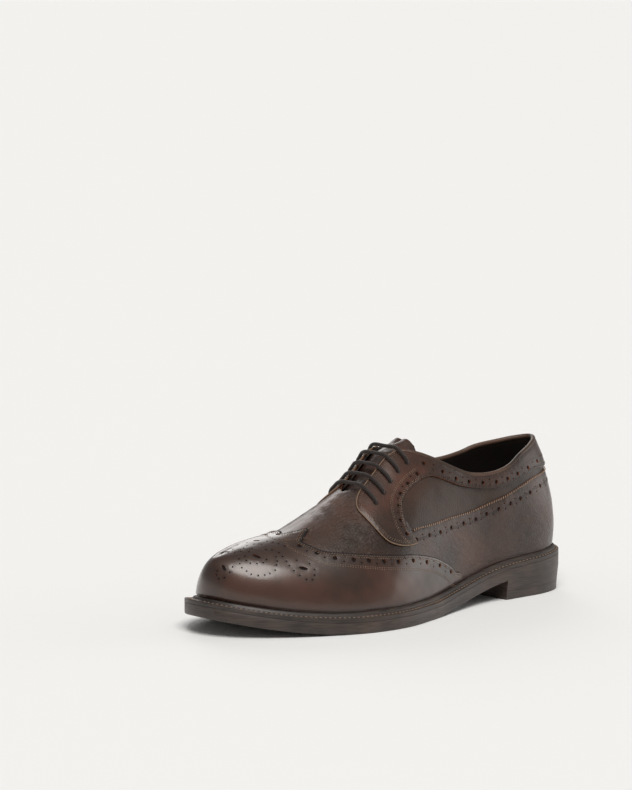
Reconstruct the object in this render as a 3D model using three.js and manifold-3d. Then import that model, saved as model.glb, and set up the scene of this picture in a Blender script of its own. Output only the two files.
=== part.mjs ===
// A man's wing-tip derby brogue, the left shoe of a pair, in millimetres with +Z up.
// The toe points along -Y and the outer side of the foot is +X.
// Surfaces are worked out in stations: s runs from heel to toe, a across to the outer side, z up.
import * as THREE from "three";
import { mergeVertices } from "three/addons/utils/BufferGeometryUtils.js";
import Module from "manifold-3d";

const wasm = await Module();
wasm.setup();

// Driving sizes of the sole
const soleLength = 300;
const heelWidth = 72;
const waistWidth = 74;
const ballWidth = 112;
const lastCurve = 15;
const heelLength = 68;
const heelHeight = 12.7;
const heelTaper = 1.2;
const toeSpring = 12;
const outsoleThickness = 7.2;
const insoleThickness = 3;

// Driving sizes of the welt
const weltThickness = 3;
const weltWidth = 8;
const weltBead = 2.6;
const weltBeadWidth = 2.6;
const weltChamfer = 0.5;
const beadFootShare = 0.3;
const beadShoulderShare = 0.8;

// Driving sizes of the upper
const instepHeight = 130;
const toeHeight = 50;
const flareWidth = 5;
const shoulderWidth = 30;
const ridgeBack = 30;
const ridgeFront = 281;
const heelLean = 8;
const upperWall = 2.8;
const panelStep = 1;
const overlayThickness = 1.2;
const tongueThickness = 2.5;
const tongueLift = 3;
const tongueDip = 3;
const tongueTipDip = 4;
const tongueEase = 0.4;
const laceHole = 4;
const laceDiameter = 2.5;
const laceBow = 0.8;

// Clearances between pieces
const seatGap = 0.3;
const facetAllowance = 0.2;
const overlayGap = seatGap + facetAllowance;

// A step below the welt line, where the wall runs straight down
const sheetFoot = 2;

// The lace holes' punch, as a multiple of the leather it goes through
const punchReach = 4;

// Outline of the sole: shares of the heel, waist and ball half widths, and of the last's curve
const soleRows = [
  { along: 0, heel: 0, waist: 0, ball: 0, curve: 0 },
  { along: 0.03, heel: 0.68, waist: 0, ball: 0, curve: 0 },
  { along: 0.1, heel: 0.955, waist: 0, ball: 0, curve: 0.01 },
  { along: 0.2, heel: 1, waist: 0, ball: 0, curve: 0.02 },
  { along: 0.3, heel: 0.3, waist: 0.63, ball: 0, curve: 0.2 },
  { along: 0.4, heel: 0, waist: 1, ball: 0, curve: 0.48 },
  { along: 0.5, heel: 0, waist: 0, ball: 0.81, curve: 0.585 },
  { along: 0.6, heel: 0, waist: 0, ball: 0.965, curve: 0.57 },
  { along: 0.7, heel: 0, waist: 0, ball: 1, curve: 0.39 },
  { along: 0.8, heel: 0, waist: 0, ball: 0.907, curve: 0.04 },
  { along: 0.9, heel: 0, waist: 0, ball: 0.71, curve: -0.27 },
  { along: 0.965, heel: 0, waist: 0, ball: 0.455, curve: -0.41 },
  { along: 1, heel: 0, waist: 0, ball: 0, curve: -0.45 },
];

// Underside of the sole behind the tread: share of the heel height
const archRows = [
  { along: 0, rise: 1.39 },
  { along: 0.12, rise: 1.2 },
  { along: 0.2267, rise: 1 },
  { along: 0.317, rise: 0.6 },
  { along: 0.4, rise: 0.26 },
  { along: 0.46, rise: 0.07 },
  { along: 0.5, rise: 0 },
  { along: 0.6, rise: 0 },
];
const heelSlope = -1.6;
const treadAlong = 0.5;
const springAlong = 0.73;
const springPower = 1.8;

// How far the foot of the upper stands in from the sole's edge: share of the welt width
const feather = [
  { along: 0, inset: 0.6 },
  { along: 0.15, inset: 0.65 },
  { along: 0.3, inset: 0.7 },
  { along: 0.5, inset: 0.79 },
  { along: 0.7, inset: 0.875 },
  { along: 0.85, inset: 0.9 },
  { along: 1, inset: 1 },
];

// Cross sections of the upper, one row each from heel to toe.
// instep and toe share out the ridge height, ridge its place across as a share of the last's curve,
// flare and shoulder are shares of their widths outside and inside, rise and brow of the height,
// and lean of how far the top of the heel stands back.
const sections = [
  { along: 0, instep: 1, toe: 0, ridge: 0, flareOut: 1.1, flareIn: 1.1, rise: 0.265,
    shoulderOut: 0.633, shoulderIn: 0.633, brow: 0.56, lean: 1 },
  { along: 0.05, instep: 1, toe: 0, ridge: 0, flareOut: 1.1, flareIn: 1.1, rise: 0.265,
    shoulderOut: 0.8, shoulderIn: 0.8, brow: 0.62, lean: 0.9 },
  { along: 0.12, instep: 1, toe: 0, ridge: 0, flareOut: 1.05, flareIn: 0.95, rise: 0.27,
    shoulderOut: 0.933, shoulderIn: 0.933, brow: 0.75, lean: 0.55 },
  { along: 0.22, instep: 0.992, toe: 0, ridge: 0, flareOut: 1, flareIn: 0.9, rise: 0.28,
    shoulderOut: 1, shoulderIn: 1, brow: 0.86, lean: 0.2 },
  { along: 0.32, instep: 0.954, toe: 0, ridge: 0, flareOut: 0.9, flareIn: 0.8, rise: 0.32,
    shoulderOut: 1, shoulderIn: 0.967, brow: 0.9, lean: 0 },
  { along: 0.42, instep: 0.892, toe: 0, ridge: 0, flareOut: 0.9, flareIn: 1, rise: 0.34,
    shoulderOut: 1, shoulderIn: 0.9, brow: 0.93, lean: 0 },
  { along: 0.5, instep: 0.819, toe: 0, ridge: 0, flareOut: 0.9, flareIn: 1, rise: 0.36,
    shoulderOut: 0.967, shoulderIn: 0.867, brow: 0.98, lean: 0 },
  { along: 0.6, instep: 0.6, toe: 0.165, ridge: 0.25, flareOut: 0.5, flareIn: 0.7, rise: 0.38,
    shoulderOut: 0.9, shoulderIn: 0.73, brow: 1, lean: 0 },
  { along: 0.7, instep: 0.28, toe: 0.705, ridge: 0.13, flareOut: 0.6, flareIn: 0.55, rise: 0.4,
    shoulderOut: 0.9, shoulderIn: 0.77, brow: 1, lean: 0 },
  { along: 0.8, instep: 0.1, toe: 0.96, ridge: 0, flareOut: 0.6, flareIn: 0.4, rise: 0.46,
    shoulderOut: 0.867, shoulderIn: 0.56, brow: 1, lean: 0 },
  { along: 0.9, instep: 0, toe: 1.115, ridge: -0.32, flareOut: 0.8, flareIn: -0.5, rise: 0.5,
    shoulderOut: 0.733, shoulderIn: 0.46, brow: 1, lean: 0 },
  { along: 1, instep: 0, toe: 0.97, ridge: -0.36, flareOut: 0.45, flareIn: 0.45, rise: 0.52,
    shoulderOut: 0.33, shoulderIn: 0.33, brow: 1, lean: 0 },
];

// Edges drawn on the upper. down is 0 on the ridge and 1 at the welt.
const toplineRows = [
  { along: 0, down: 0.228 },
  { along: 0.05, down: 0.28 },
  { along: 0.1, down: 0.355 },
  { along: 0.15, down: 0.432 },
  { along: 0.2, down: 0.471 },
  { along: 0.25, down: 0.475 },
  { along: 0.3, down: 0.447 },
  { along: 0.35, down: 0.381 },
  { along: 0.4, down: 0.288 },
  { along: 0.44, down: 0.208 },
  { along: 0.47, down: 0.152 },
  { along: 0.5, down: 0.134 },
  { along: 0.55, down: 0.13 },
  { along: 0.59, down: 0.132 },
  { along: 0.612, down: 0.112 },
  { along: 0.628, down: 0 },
];
const throatAlong = 0.628;
const medialRise = 0.065;
const medialRiseRows = [
  { along: 0, share: 0 },
  { along: 0.12, share: 1 },
  { along: 0.3, share: 1 },
  { along: 0.41, share: 0 },
  { along: 1, share: 0 },
];
const foxingRows = [
  { along: 0, down: 0.39 },
  { along: 0.03, down: 0.432 },
  { along: 0.08, down: 0.481 },
  { along: 0.13, down: 0.538 },
  { along: 0.17, down: 0.577 },
  { along: 0.21, down: 0.606 },
  { along: 0.26, down: 0.626 },
  { along: 0.32, down: 0.635 },
  { along: 0.4, down: 0.618 },
  { along: 0.475, down: 0.606 },
  { along: 0.537, down: 0.582 },
  { along: 0.6, down: 0.57 },
  { along: 1, down: 0.57 },
];
const foxingStepShare = 0.012;
const sinkFadeFrom = 0.535;
const sinkFadeTo = 0.6;
const softEdgeFrom = 0.2;
const softEdgeTo = 0.06;
const bandRows = [
  { along: 0, down: 0.38 },
  { along: 0.06, down: 0.421 },
  { along: 0.117, down: 0.485 },
  { along: 0.16, down: 0.524 },
  { along: 0.2, down: 0.543 },
  { along: 0.234, down: 0.547 },
  { along: 0.268, down: 0.537 },
  { along: 0.303, down: 0.518 },
  { along: 0.34, down: 0.486 },
  { along: 0.37, down: 0.447 },
  { along: 0.4, down: 0.404 },
  { along: 0.425, down: 0.375 },
  { along: 0.45, down: 0.372 },
];
const bandEndAlong = 0.449;
const facingRows = [
  { along: 0.452, top: 0.187, down: 0.376 },
  { along: 0.47, top: 0.155, down: 0.38 },
  { along: 0.5, top: 0.136, down: 0.386 },
  { along: 0.518, top: 0.133, down: 0.398 },
  { along: 0.528, top: 0.132, down: 0.49 },
  { along: 0.532, top: 0.132, down: 0.575 },
  { along: 0.536, top: 0.131, down: 0.652 },
  { along: 0.56, top: 0.131, down: 0.637 },
  { along: 0.59, top: 0.134, down: 0.6 },
  { along: 0.612, top: 0.15, down: 0.552 },
  { along: 0.628, top: 0.185, down: 0.463 },
  { along: 0.636, top: 0.214, down: 0.36 },
  { along: 0.641, top: 0.25, down: 0.285 },
];
const tongueRows = [
  { along: 0.412, half: 0.16 },
  { along: 0.422, half: 0.23 },
  { along: 0.437, half: 0.265 },
  { along: 0.46, half: 0.275 },
  { along: 0.5, half: 0.27 },
  { along: 0.6, half: 0.25 },
  { along: 0.66, half: 0.23 },
  { along: 0.7, half: 0.17 },
];
const tongueLobeShare = 0.14;
const tongueLiftAlong = 0.455;
const tongueBodyAlong = 0.445;
const tongueDipFrom = 0.55;
const tongueDipTo = 0.62;

// Back edge of the wing cap: how far along it starts at each step across, from the inner welt at -1
// to the outer welt at 1. The spear points back a little to the outer side of the ridge.
const wingRows = [
  { across: -1, along: 0.36 },
  { across: -0.95, along: 0.374 },
  { across: -0.9, along: 0.392 },
  { across: -0.851, along: 0.413 },
  { across: -0.793, along: 0.454 },
  { across: -0.755, along: 0.492 },
  { across: -0.724, along: 0.528 },
  { across: -0.662, along: 0.59 },
  { across: -0.607, along: 0.643 },
  { across: -0.549, along: 0.69 },
  { across: -0.481, along: 0.731 },
  { across: -0.436, along: 0.749 },
  { across: -0.381, along: 0.767 },
  { across: -0.33, along: 0.785 },
  { across: -0.27, along: 0.798 },
  { across: -0.18, along: 0.808 },
  { across: -0.09, along: 0.815 },
  { across: 0, along: 0.82 },
  { across: 0.05, along: 0.826 },
  { across: 0.084, along: 0.822 },
  { across: 0.121, along: 0.801 },
  { across: 0.155, along: 0.777 },
  { across: 0.171, along: 0.762 },
  { across: 0.19, along: 0.769 },
  { across: 0.225, along: 0.783 },
  { across: 0.275, along: 0.798 },
  { across: 0.32, along: 0.792 },
  { across: 0.359, along: 0.784 },
  { across: 0.429, along: 0.767 },
  { across: 0.47, along: 0.746 },
  { across: 0.506, along: 0.721 },
  { across: 0.549, along: 0.69 },
  { across: 0.607, along: 0.643 },
  { across: 0.662, along: 0.59 },
  { across: 0.724, along: 0.528 },
  { across: 0.755, along: 0.492 },
  { across: 0.793, along: 0.454 },
  { across: 0.851, along: 0.413 },
  { across: 0.9, along: 0.392 },
  { across: 0.95, along: 0.374 },
  { across: 1, along: 0.36 },
];
const wingFoot = 0.8;

// Lace holes, one row for each bar from the throat up to the collar
const laceRows = [
  { along: 0.6, down: 0.3 },
  { along: 0.572, down: 0.283 },
  { along: 0.542, down: 0.268 },
  { along: 0.51, down: 0.262 },
  { along: 0.475, down: 0.252 },
];

// Fineness of the facets
const evenStations = 30;
const keyStations = [heelLength / soleLength, throatAlong, ...facingRows.map((row) => row.along)];
const stationSpacing = 0.02;
const stationEase = 0.005;
const cornersPerMillimetre = 500;
const upperAbove = [0, 0.22, 0.44, 0.66, 0.85, 1];
const upperBelow = [0.25, 0.5, 0.75, 1];
const capAbove = [0, 0.1, 0.2, 0.306, 0.4, 0.49, 0.6, 0.8, 1];
const capBelow = [0.12, 0.25, 0.37, 0.5, 0.62, 0.75, 0.87, 1];
const bandSteps = 3;
const facingSteps = 5;
const tongueSteps = 4;
const searchStart = 0.7 * Math.PI;
const searchPasses = 8;
const laceSides = 8;
const laceSteps = 8;

// Colours and finishes
const leather = { color: 0x3c2620, roughness: 0.42, metalness: 0 };
const capLeather = { color: 0x452a22, roughness: 0.36, metalness: 0 };
const panelLeather = { color: 0x4a2c22, roughness: 0.42, metalness: 0 };
const lining = { color: 0x15110f, roughness: 0.85, metalness: 0 };
const soleEdge = { color: 0x3a2a22, roughness: 0.62, metalness: 0 };
const weltFinish = { color: 0x4a382e, roughness: 0.6, metalness: 0 };
const laceFinish = { color: 0x241915, roughness: 0.7, metalness: 0 };

const clamp = (value, low, high) => Math.min(high, Math.max(low, value));
const turnAt = (along) => Math.acos(1 - 2 * clamp(along, 0, 1));
const alongAt = (turn) => (1 - Math.cos(turn)) / 2;

function smoothStep(value, low, high) {
  const t = clamp((value - low) / (high - low), 0, 1);
  return t * t * (3 - 2 * t);
}

// A smooth curve through xs and ys, with three-point slopes.
function smoothCurve(xs, ys, firstSlope, lastSlope) {
  const slopes = xs.map((x, i) => {
    if (i === 0) return firstSlope;
    if (i === xs.length - 1) return lastSlope;
    const before = xs[i] - xs[i - 1];
    const after = xs[i + 1] - xs[i];
    const back = (ys[i] - ys[i - 1]) / before;
    const ahead = (ys[i + 1] - ys[i]) / after;
    return (back * after + ahead * before) / (before + after);
  });
  return (value) => {
    const x = clamp(value, xs[0], xs[xs.length - 1]);
    let k = 0;
    while (k < xs.length - 2 && x > xs[k + 1]) k += 1;
    const h = xs[k + 1] - xs[k];
    const t = (x - xs[k]) / h;
    const start = (2 * t ** 3 - 3 * t ** 2 + 1) * ys[k] + (t ** 3 - 2 * t ** 2 + t) * h * slopes[k];
    return start + (3 * t ** 2 - 2 * t ** 3) * ys[k + 1] + (t ** 3 - t ** 2) * h * slopes[k + 1];
  };
}

// A table column as a curve over the turn angle: even columns end level, odd ones run on through zero.
function turnCurve(rows, value, odd = false) {
  const xs = rows.map((row) => turnAt(row.along));
  const ys = rows.map(value);
  const last = xs.length - 1;
  const firstSlope = odd ? (ys[1] - ys[0]) / (xs[1] - xs[0]) : 0;
  const lastSlope = odd ? (ys[last] - ys[last - 1]) / (xs[last] - xs[last - 1]) : 0;
  return smoothCurve(xs, ys, firstSlope, lastSlope);
}

// A table column as straight stretches.
function plainCurve(rows, key, name) {
  return (value) => {
    const x = clamp(value, rows[0][key], rows[rows.length - 1][key]);
    let k = 0;
    while (k < rows.length - 2 && x > rows[k + 1][key]) k += 1;
    const t = (x - rows[k][key]) / (rows[k + 1][key] - rows[k][key]);
    return rows[k][name] * (1 - t) + rows[k + 1][name] * t;
  };
}

const halfWidth = turnCurve(soleRows, (row) =>
  (row.heel * heelWidth + row.waist * waistWidth + row.ball * ballWidth) / 2, true);
const centreLine = turnCurve(soleRows, (row) => row.curve * lastCurve);
const archRise = smoothCurve(archRows.map((row) => row.along), archRows.map((row) => row.rise), heelSlope, 0);
const featherInset = turnCurve(feather, (row) => row.inset * weltWidth);
const ridgeHeight = turnCurve(sections, (row) => row.instep * instepHeight + row.toe * toeHeight);
const ridgeAcross = turnCurve(sections, (row) => row.ridge * lastCurve);
const flareOut = turnCurve(sections, (row) => row.flareOut * flareWidth);
const flareIn = turnCurve(sections, (row) => row.flareIn * flareWidth);
const shoulderOut = turnCurve(sections, (row) => row.shoulderOut * shoulderWidth);
const shoulderIn = turnCurve(sections, (row) => row.shoulderIn * shoulderWidth);
const riseShare = turnCurve(sections, (row) => row.rise);
const browShare = turnCurve(sections, (row) => row.brow);
const leanBack = turnCurve(sections, (row) => row.lean * heelLean);
const toplineDown = turnCurve(toplineRows, (row) => row.down);
const foxingDown = turnCurve(foxingRows, (row) => row.down);
const bandDown = turnCurve(bandRows, (row) => row.down);
const facingTop = plainCurve(facingRows, "along", "top");
const facingDown = plainCurve(facingRows, "along", "down");
const tongueHalf = plainCurve(tongueRows, "along", "half");
const medialShare = plainCurve(medialRiseRows, "along", "share");
const wingAlong = plainCurve(wingRows, "across", "along");

// The shared stations, even in the turn angle, with the key ones put in.
function makeStations() {
  const keys = keyStations.map(turnAt);
  const even = Array.from({ length: evenStations + 1 }, (_, i) => (Math.PI * i) / evenStations);
  const clear = even.filter((turn) => keys.every((key) => Math.abs(key - turn) > stationSpacing));
  return [...clear, ...keys].sort((a, b) => a - b);
}
const stations = makeStations();

// Underside of the sole at a station.
function groundHeight(s) {
  const along = clamp(s / soleLength, 0, 1);
  if (along < treadAlong) return archRise(along) * heelHeight;
  return toeSpring * clamp((along - springAlong) / (1 - springAlong), 0, 1) ** springPower;
}
const outsoleTop = (s) => groundHeight(s) + outsoleThickness;
const weltBottom = (s) => outsoleTop(s) + seatGap;
const weltTop = (s) => weltBottom(s) + weltThickness;

// A point of the sole's outline, set in by a distance, with its outward direction. side is 1 outside.
function soleOutline(turn, side, inset = 0) {
  const point = (t) => [(soleLength * (1 - Math.cos(t))) / 2, centreLine(t) + side * halfWidth(t)];
  const [s, a] = point(turn);
  const step = 1e-4;
  let normal;
  if (turn < step) normal = [-1, 0];
  else if (turn > Math.PI - step) normal = [1, 0];
  else {
    const [s0, a0] = point(turn - step);
    const [s1, a1] = point(turn + step);
    const size = Math.hypot(s1 - s0, a1 - a0);
    normal = [(-side * (a1 - a0)) / size, (side * (s1 - s0)) / size];
  }
  return { s: s - normal[0] * inset, a: a - normal[1] * inset, normal };
}

// A point of the last's surface. down runs from -1 at the inner welt over 0 on the ridge to 1 outside.
function lastPoint(turn, down) {
  const side = down >= 0 ? 1 : -1;
  const foot = soleOutline(turn, side, featherInset(turn));
  const z0 = weltTop(foot.s);
  const top = ridgeHeight(turn);
  const flare = side > 0 ? flareOut(turn) : flareIn(turn);
  const shoulder = side > 0 ? shoulderOut(turn) : shoulderIn(turn);
  const ridgeS = ridgeBack + (ridgeFront - ridgeBack) * alongAt(turn) - leanBack(turn);
  const ridgeA = ridgeAcross(turn);
  const t = 1 - Math.min(1, Math.abs(down));
  const w = [(1 - t) ** 3, 3 * (1 - t) ** 2 * t, 3 * (1 - t) * t * t, t ** 3];
  const ends = [
    [foot.s, foot.a, z0],
    [foot.s + foot.normal[0] * flare, foot.a + foot.normal[1] * flare, z0 + (top - z0) * riseShare(turn)],
    [ridgeS + foot.normal[0] * shoulder, ridgeA + foot.normal[1] * shoulder,
      z0 + (top - z0) * browShare(turn)],
    [ridgeS, ridgeA, top],
  ];
  const point = new THREE.Vector3();
  ends.forEach((end, i) => point.addScaledVector(new THREE.Vector3(...end), w[i]));
  return point;
}

function rawNormal(turn, down) {
  const step = 1e-3;
  const t = clamp(turn, 2 * step, Math.PI - 2 * step);
  const across = lastPoint(t + step, down).sub(lastPoint(t - step, down));
  const rib = lastPoint(t, down + step).sub(lastPoint(t, down - step));
  return across.cross(rib).normalize();
}

// Outward direction of the last's surface, shared by both sides where they meet.
function lastNormal(turn, down) {
  const step = 1e-3;
  const near = Math.min(Math.abs(down), 1 - 2 * step);
  const side = down >= 0 ? 1 : -1;
  if (near < step) return rawNormal(turn, 2 * step).add(rawNormal(turn, -2 * step)).normalize();
  if (turn < step || turn > Math.PI - step) {
    return rawNormal(turn, near).add(rawNormal(turn, -near)).normalize();
  }
  return rawNormal(turn, side * near);
}

// The surface moved out by a distance. Past the welt line it drops straight to the outsole.
function offsetPoint(turn, down, out) {
  if (Math.abs(down) <= 1) return lastPoint(turn, down).addScaledVector(lastNormal(turn, down), out);
  const side = down >= 0 ? 1 : -1;
  const foot = soleOutline(turn, side, featherInset(turn));
  const s = foot.s + foot.normal[0] * out;
  return new THREE.Vector3(s, foot.a + foot.normal[1] * out, weltBottom(s));
}

// Share of the rib that lies between the welt and a height above it.
function downAtHeight(turn, side, height) {
  const foot = soleOutline(turn, side, featherInset(turn));
  const z0 = weltTop(foot.s);
  return 1 - height / (3 * riseShare(turn) * (ridgeHeight(turn) - z0));
}

// How far the quarter is sunk below the foxing and the vamp.
function quarterSink(turn, down) {
  const front = 1 - smoothStep(alongAt(turn), sinkFadeFrom, sinkFadeTo);
  return Math.abs(down) < foxingDown(turn) - foxingStepShare / 2 ? panelStep * front : 0;
}
function softSink(turn, down) {
  const front = 1 - smoothStep(alongAt(turn), sinkFadeFrom, sinkFadeTo);
  const edge = foxingDown(turn);
  return panelStep * front * (1 - smoothStep(Math.abs(down), edge - softEdgeFrom, edge - softEdgeTo));
}
function topline(turn, side) {
  if (alongAt(turn) >= throatAlong - 1e-6) return 0;
  const rise = side > 0 ? 0 : medialRise * medialShare(alongAt(turn));
  return toplineDown(turn) * (1 - rise);
}

const toWorld = (point) => [point.y, -point.x, point.z];

function makeMesh(name, positions, triangles, finish) {
  const geometry = new THREE.BufferGeometry();
  geometry.setAttribute("position", new THREE.Float32BufferAttribute(positions.flat(), 3));
  geometry.setIndex(triangles.flat());
  geometry.computeVertexNormals();
  const mesh = new THREE.Mesh(geometry, new THREE.MeshStandardMaterial(finish));
  mesh.name = name;
  return mesh;
}

// Collects corner points, joining those that meet, and faces between them.
class Skin {
  constructor() {
    this.keys = new Map();
    this.points = [];
    this.faces = [];
  }

  corner(point) {
    const key = point.toArray().map((value) => Math.round(value * cornersPerMillimetre)).join();
    if (!this.keys.has(key)) {
      this.keys.set(key, this.points.length);
      this.points.push(point);
    }
    return this.keys.get(key);
  }

  face(corners) {
    for (let i = 1; i < corners.length - 1; i += 1) {
      const [a, b, c] = [corners[0], corners[i], corners[i + 1]];
      if (a !== b && b !== c && a !== c) this.faces.push([a, b, c]);
    }
  }

  quad(a, b, c, d) {
    this.face([a, b, c, d].map((point) => this.corner(point)));
  }
}

// A panel of the upper with a thickness. Each grid is rows of { turn, down, out, in } from heel to toe,
// its columns running down the outer side or up the inner side.
function panelMesh(name, grids, finish) {
  const skin = new Skin();
  const inner = [];
  const place = (cell) => {
    const corner = skin.corner(offsetPoint(cell.turn, cell.down, cell.out));
    inner[corner] = inner[corner] ?? offsetPoint(cell.turn, cell.down, cell.in);
    return corner;
  };
  grids.forEach(({ rows, flip }) => {
    const corners = rows.map((row) => row.map(place));
    for (let i = 0; i < rows.length - 1; i += 1) {
      for (let j = 0; j < rows[i].length - 1; j += 1) {
        const ring = [corners[i][j], corners[i + 1][j], corners[i + 1][j + 1], corners[i][j + 1]];
        skin.face(flip ? ring.reverse() : ring);
      }
    }
  });
  return closeSkin(name, skin, inner, finish);
}

// Backs a skin with its inner points and closes the rim.
function closeSkin(name, skin, inner, finish) {
  const count = skin.points.length;
  const edges = new Map();
  skin.faces.forEach(([a, b, c]) => {
    [[a, b], [b, c], [c, a]].forEach((edge) => edges.set(edge.join(), edge));
  });
  const triangles = [...skin.faces, ...skin.faces.map(([a, b, c]) => [a + count, c + count, b + count])];
  edges.forEach(([a, b]) => {
    if (!edges.has([b, a].join())) triangles.push([b, a, a + count], [b, a + count, b + count]);
  });
  return makeMesh(name, [...skin.points, ...inner].map(toWorld), triangles, finish);
}

// Steps down a rib: from the topline to the foxing's edge, and on to a foot.
function ribSteps(turn, side, above, below, foot) {
  const top = topline(turn, side);
  const edge = foxingDown(turn);
  const quarter = above.map((share) => top + (edge - foxingStepShare - top) * share);
  return [...quarter, edge, ...below.map((share) => edge + (foot - edge) * share)];
}

// Wall of vamp, foxing and quarters.
function makeUpper() {
  const grids = [1, -1].map((side) => ({
    flip: side < 0,
    rows: stations.map((turn) => {
      const steps = [...ribSteps(turn, side, upperAbove, upperBelow, 1), sheetFoot];
      return steps.map((down) => ({
        turn, down: side * down, out: -quarterSink(turn, down), in: -upperWall,
      }));
    }),
  }));
  return panelMesh("upper", grids, leather);
}

// A panel between two edges that are given for each station.
function stripGrid(turns, side, top, foot, steps, level, thickness) {
  return {
    flip: side < 0,
    rows: turns.map((turn) => Array.from({ length: steps + 1 }, (_, j) => {
      const from = top(turn);
      const down = from + (foot(turn) - from) * (j / steps);
      const base = level(turn, down);
      return { turn, down: side * down, out: base + thickness, in: base };
    })),
  };
}
const panelLevel = (turn, down) => overlayGap - softSink(turn, down);

function makeCollarBand() {
  const behind = stations.filter((turn) => alongAt(turn) < bandEndAlong - stationEase);
  const turns = [...behind, turnAt(bandEndAlong)];
  const grids = [1, -1].map((side) =>
    stripGrid(turns, side, (turn) => topline(turn, side), bandDown, bandSteps, panelLevel, overlayThickness));
  return panelMesh("collar_band", grids, panelLeather);
}

function makeFacing(name, side) {
  const turns = facingRows.map((row) => turnAt(row.along));
  const grid = stripGrid(turns, side, (turn) => Math.max(facingTop(alongAt(turn)), topline(turn, side)),
    (turn) => facingDown(alongAt(turn)), facingSteps, panelLevel, overlayThickness);
  return panelMesh(name, [grid], panelLeather);
}

// The wing cap: lines from its back edge to the toe's tip at each step down, joined by strips.
function makeWingCap() {
  const skin = new Skin();
  const inner = [];
  [1, -1].forEach((side) => {
    const cell = (turn, k) => {
      const foot = downAtHeight(turn, side, weltBead + wingFoot);
      return ribSteps(turn, side, capAbove, capBelow, foot)[k];
    };
    const count = capAbove.length + 1 + capBelow.length;
    const lines = Array.from({ length: count }, (_, k) => {
      let start = searchStart;
      for (let pass = 0; pass < searchPasses; pass += 1) start = turnAt(wingAlong(side * cell(start, k)));
      const turns = [start, ...stations.filter((turn) => turn > start + stationSpacing)];
      return turns.map((turn) => {
        const down = side * cell(turn, k);
        const corner = skin.corner(offsetPoint(turn, down, overlayGap + overlayThickness));
        inner[corner] = inner[corner] ?? offsetPoint(turn, down, overlayGap);
        return { turn, corner };
      });
    });
    for (let k = 0; k < count - 1; k += 1) {
      joinLines(skin, lines[k], lines[k + 1], side < 0);
    }
  });
  return closeSkin("wing_cap", skin, inner, capLeather);
}

// Faces between two lines whose corners are in order of turn.
function joinLines(skin, upperLine, lowerLine, flip) {
  let i = 0;
  let j = 0;
  while (i < upperLine.length - 1 || j < lowerLine.length - 1) {
    const upperNext = i < upperLine.length - 1 ? upperLine[i + 1].turn : Infinity;
    const lowerNext = j < lowerLine.length - 1 ? lowerLine[j + 1].turn : Infinity;
    const ring = [upperLine[i].corner];
    if (upperNext < lowerNext) {
      i += 1;
      ring.push(upperLine[i].corner, lowerLine[j].corner);
    } else {
      j += 1;
      ring.push(lowerLine[j].corner, lowerLine[j - 1].corner);
    }
    skin.face(flip ? ring.reverse() : ring);
  }
}

function makeTongue() {
  const ends = [tongueRows[0].along, tongueRows[tongueRows.length - 1].along];
  const inside = stations.filter((turn) =>
    alongAt(turn) > tongueBodyAlong && alongAt(turn) < ends[1] - stationEase);
  const turns = [...tongueRows.slice(0, 3).map((row) => turnAt(row.along)), ...inside, turnAt(ends[1])];
  const level = -upperWall - overlayGap - tongueEase;
  const grids = [1, -1].map((side) => ({
    flip: side < 0,
    rows: turns.map((turn) => Array.from({ length: tongueSteps + 1 }, (_, j) => {
      const down = (tongueHalf(alongAt(turn)) * j) / tongueSteps;
      const lobe = down < tongueLobeShare ? Math.sin((Math.PI * down) / tongueLobeShare) : 0;
      const tip = 1 - smoothStep(alongAt(turn), ends[0], tongueLiftAlong);
      const lift = tongueLift * lobe * tip;
      const slack = tongueDip * (1 - smoothStep(alongAt(turn), tongueDipFrom, tongueDipTo))
        + tongueTipDip * tip;
      const out = level + lift - slack * Math.max(0, 1 - down / tongueLobeShare);
      return { turn, down: side * down, out, in: out - tongueThickness };
    })),
  }));
  return panelMesh("tongue", grids, leather);
}

// A flat-lying layer between two heights, with the sole's outline set in.
function layerMesh(name, turns, insets, heights, finish) {
  const skin = new Skin();
  const corner = (turn, side, level) => {
    const { s, a } = soleOutline(turn, side, insets[level](turn));
    return new THREE.Vector3(s, a, heights[level](s));
  };
  for (let i = 0; i < turns.length - 1; i += 1) {
    const [t0, t1] = [turns[i], turns[i + 1]];
    skin.quad(corner(t0, 1, 1), corner(t0, -1, 1), corner(t1, -1, 1), corner(t1, 1, 1));
    skin.quad(corner(t0, 1, 0), corner(t1, 1, 0), corner(t1, -1, 0), corner(t0, -1, 0));
    skin.quad(corner(t0, 1, 0), corner(t0, 1, 1), corner(t1, 1, 1), corner(t1, 1, 0));
    skin.quad(corner(t0, -1, 0), corner(t1, -1, 0), corner(t1, -1, 1), corner(t0, -1, 1));
  }
  const end = turns[turns.length - 1];
  skin.quad(corner(end, 1, 0), corner(end, 1, 1), corner(end, -1, 1), corner(end, -1, 0));
  return makeMesh(name, skin.points.map(toWorld), skin.faces, finish);
}

function makeOutsole() {
  const flush = () => 0;
  return layerMesh("outsole", stations, [flush, flush], [groundHeight, outsoleTop], soleEdge);
}

function makeInsole() {
  const inset = (turn) => featherInset(turn) + upperWall + overlayGap;
  const top = (s) => weltBottom(s) + insoleThickness;
  return layerMesh("insole", stations, [inset, inset], [weltBottom, top], lining);
}

function makeHeel() {
  const turns = stations.filter((turn) => alongAt(turn) < heelLength / soleLength + 1e-6);
  const insets = [() => heelTaper, () => 0];
  const heights = [() => 0, (s) => groundHeight(s) - seatGap];
  return layerMesh("heel", turns, insets, heights, soleEdge);
}

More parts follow.
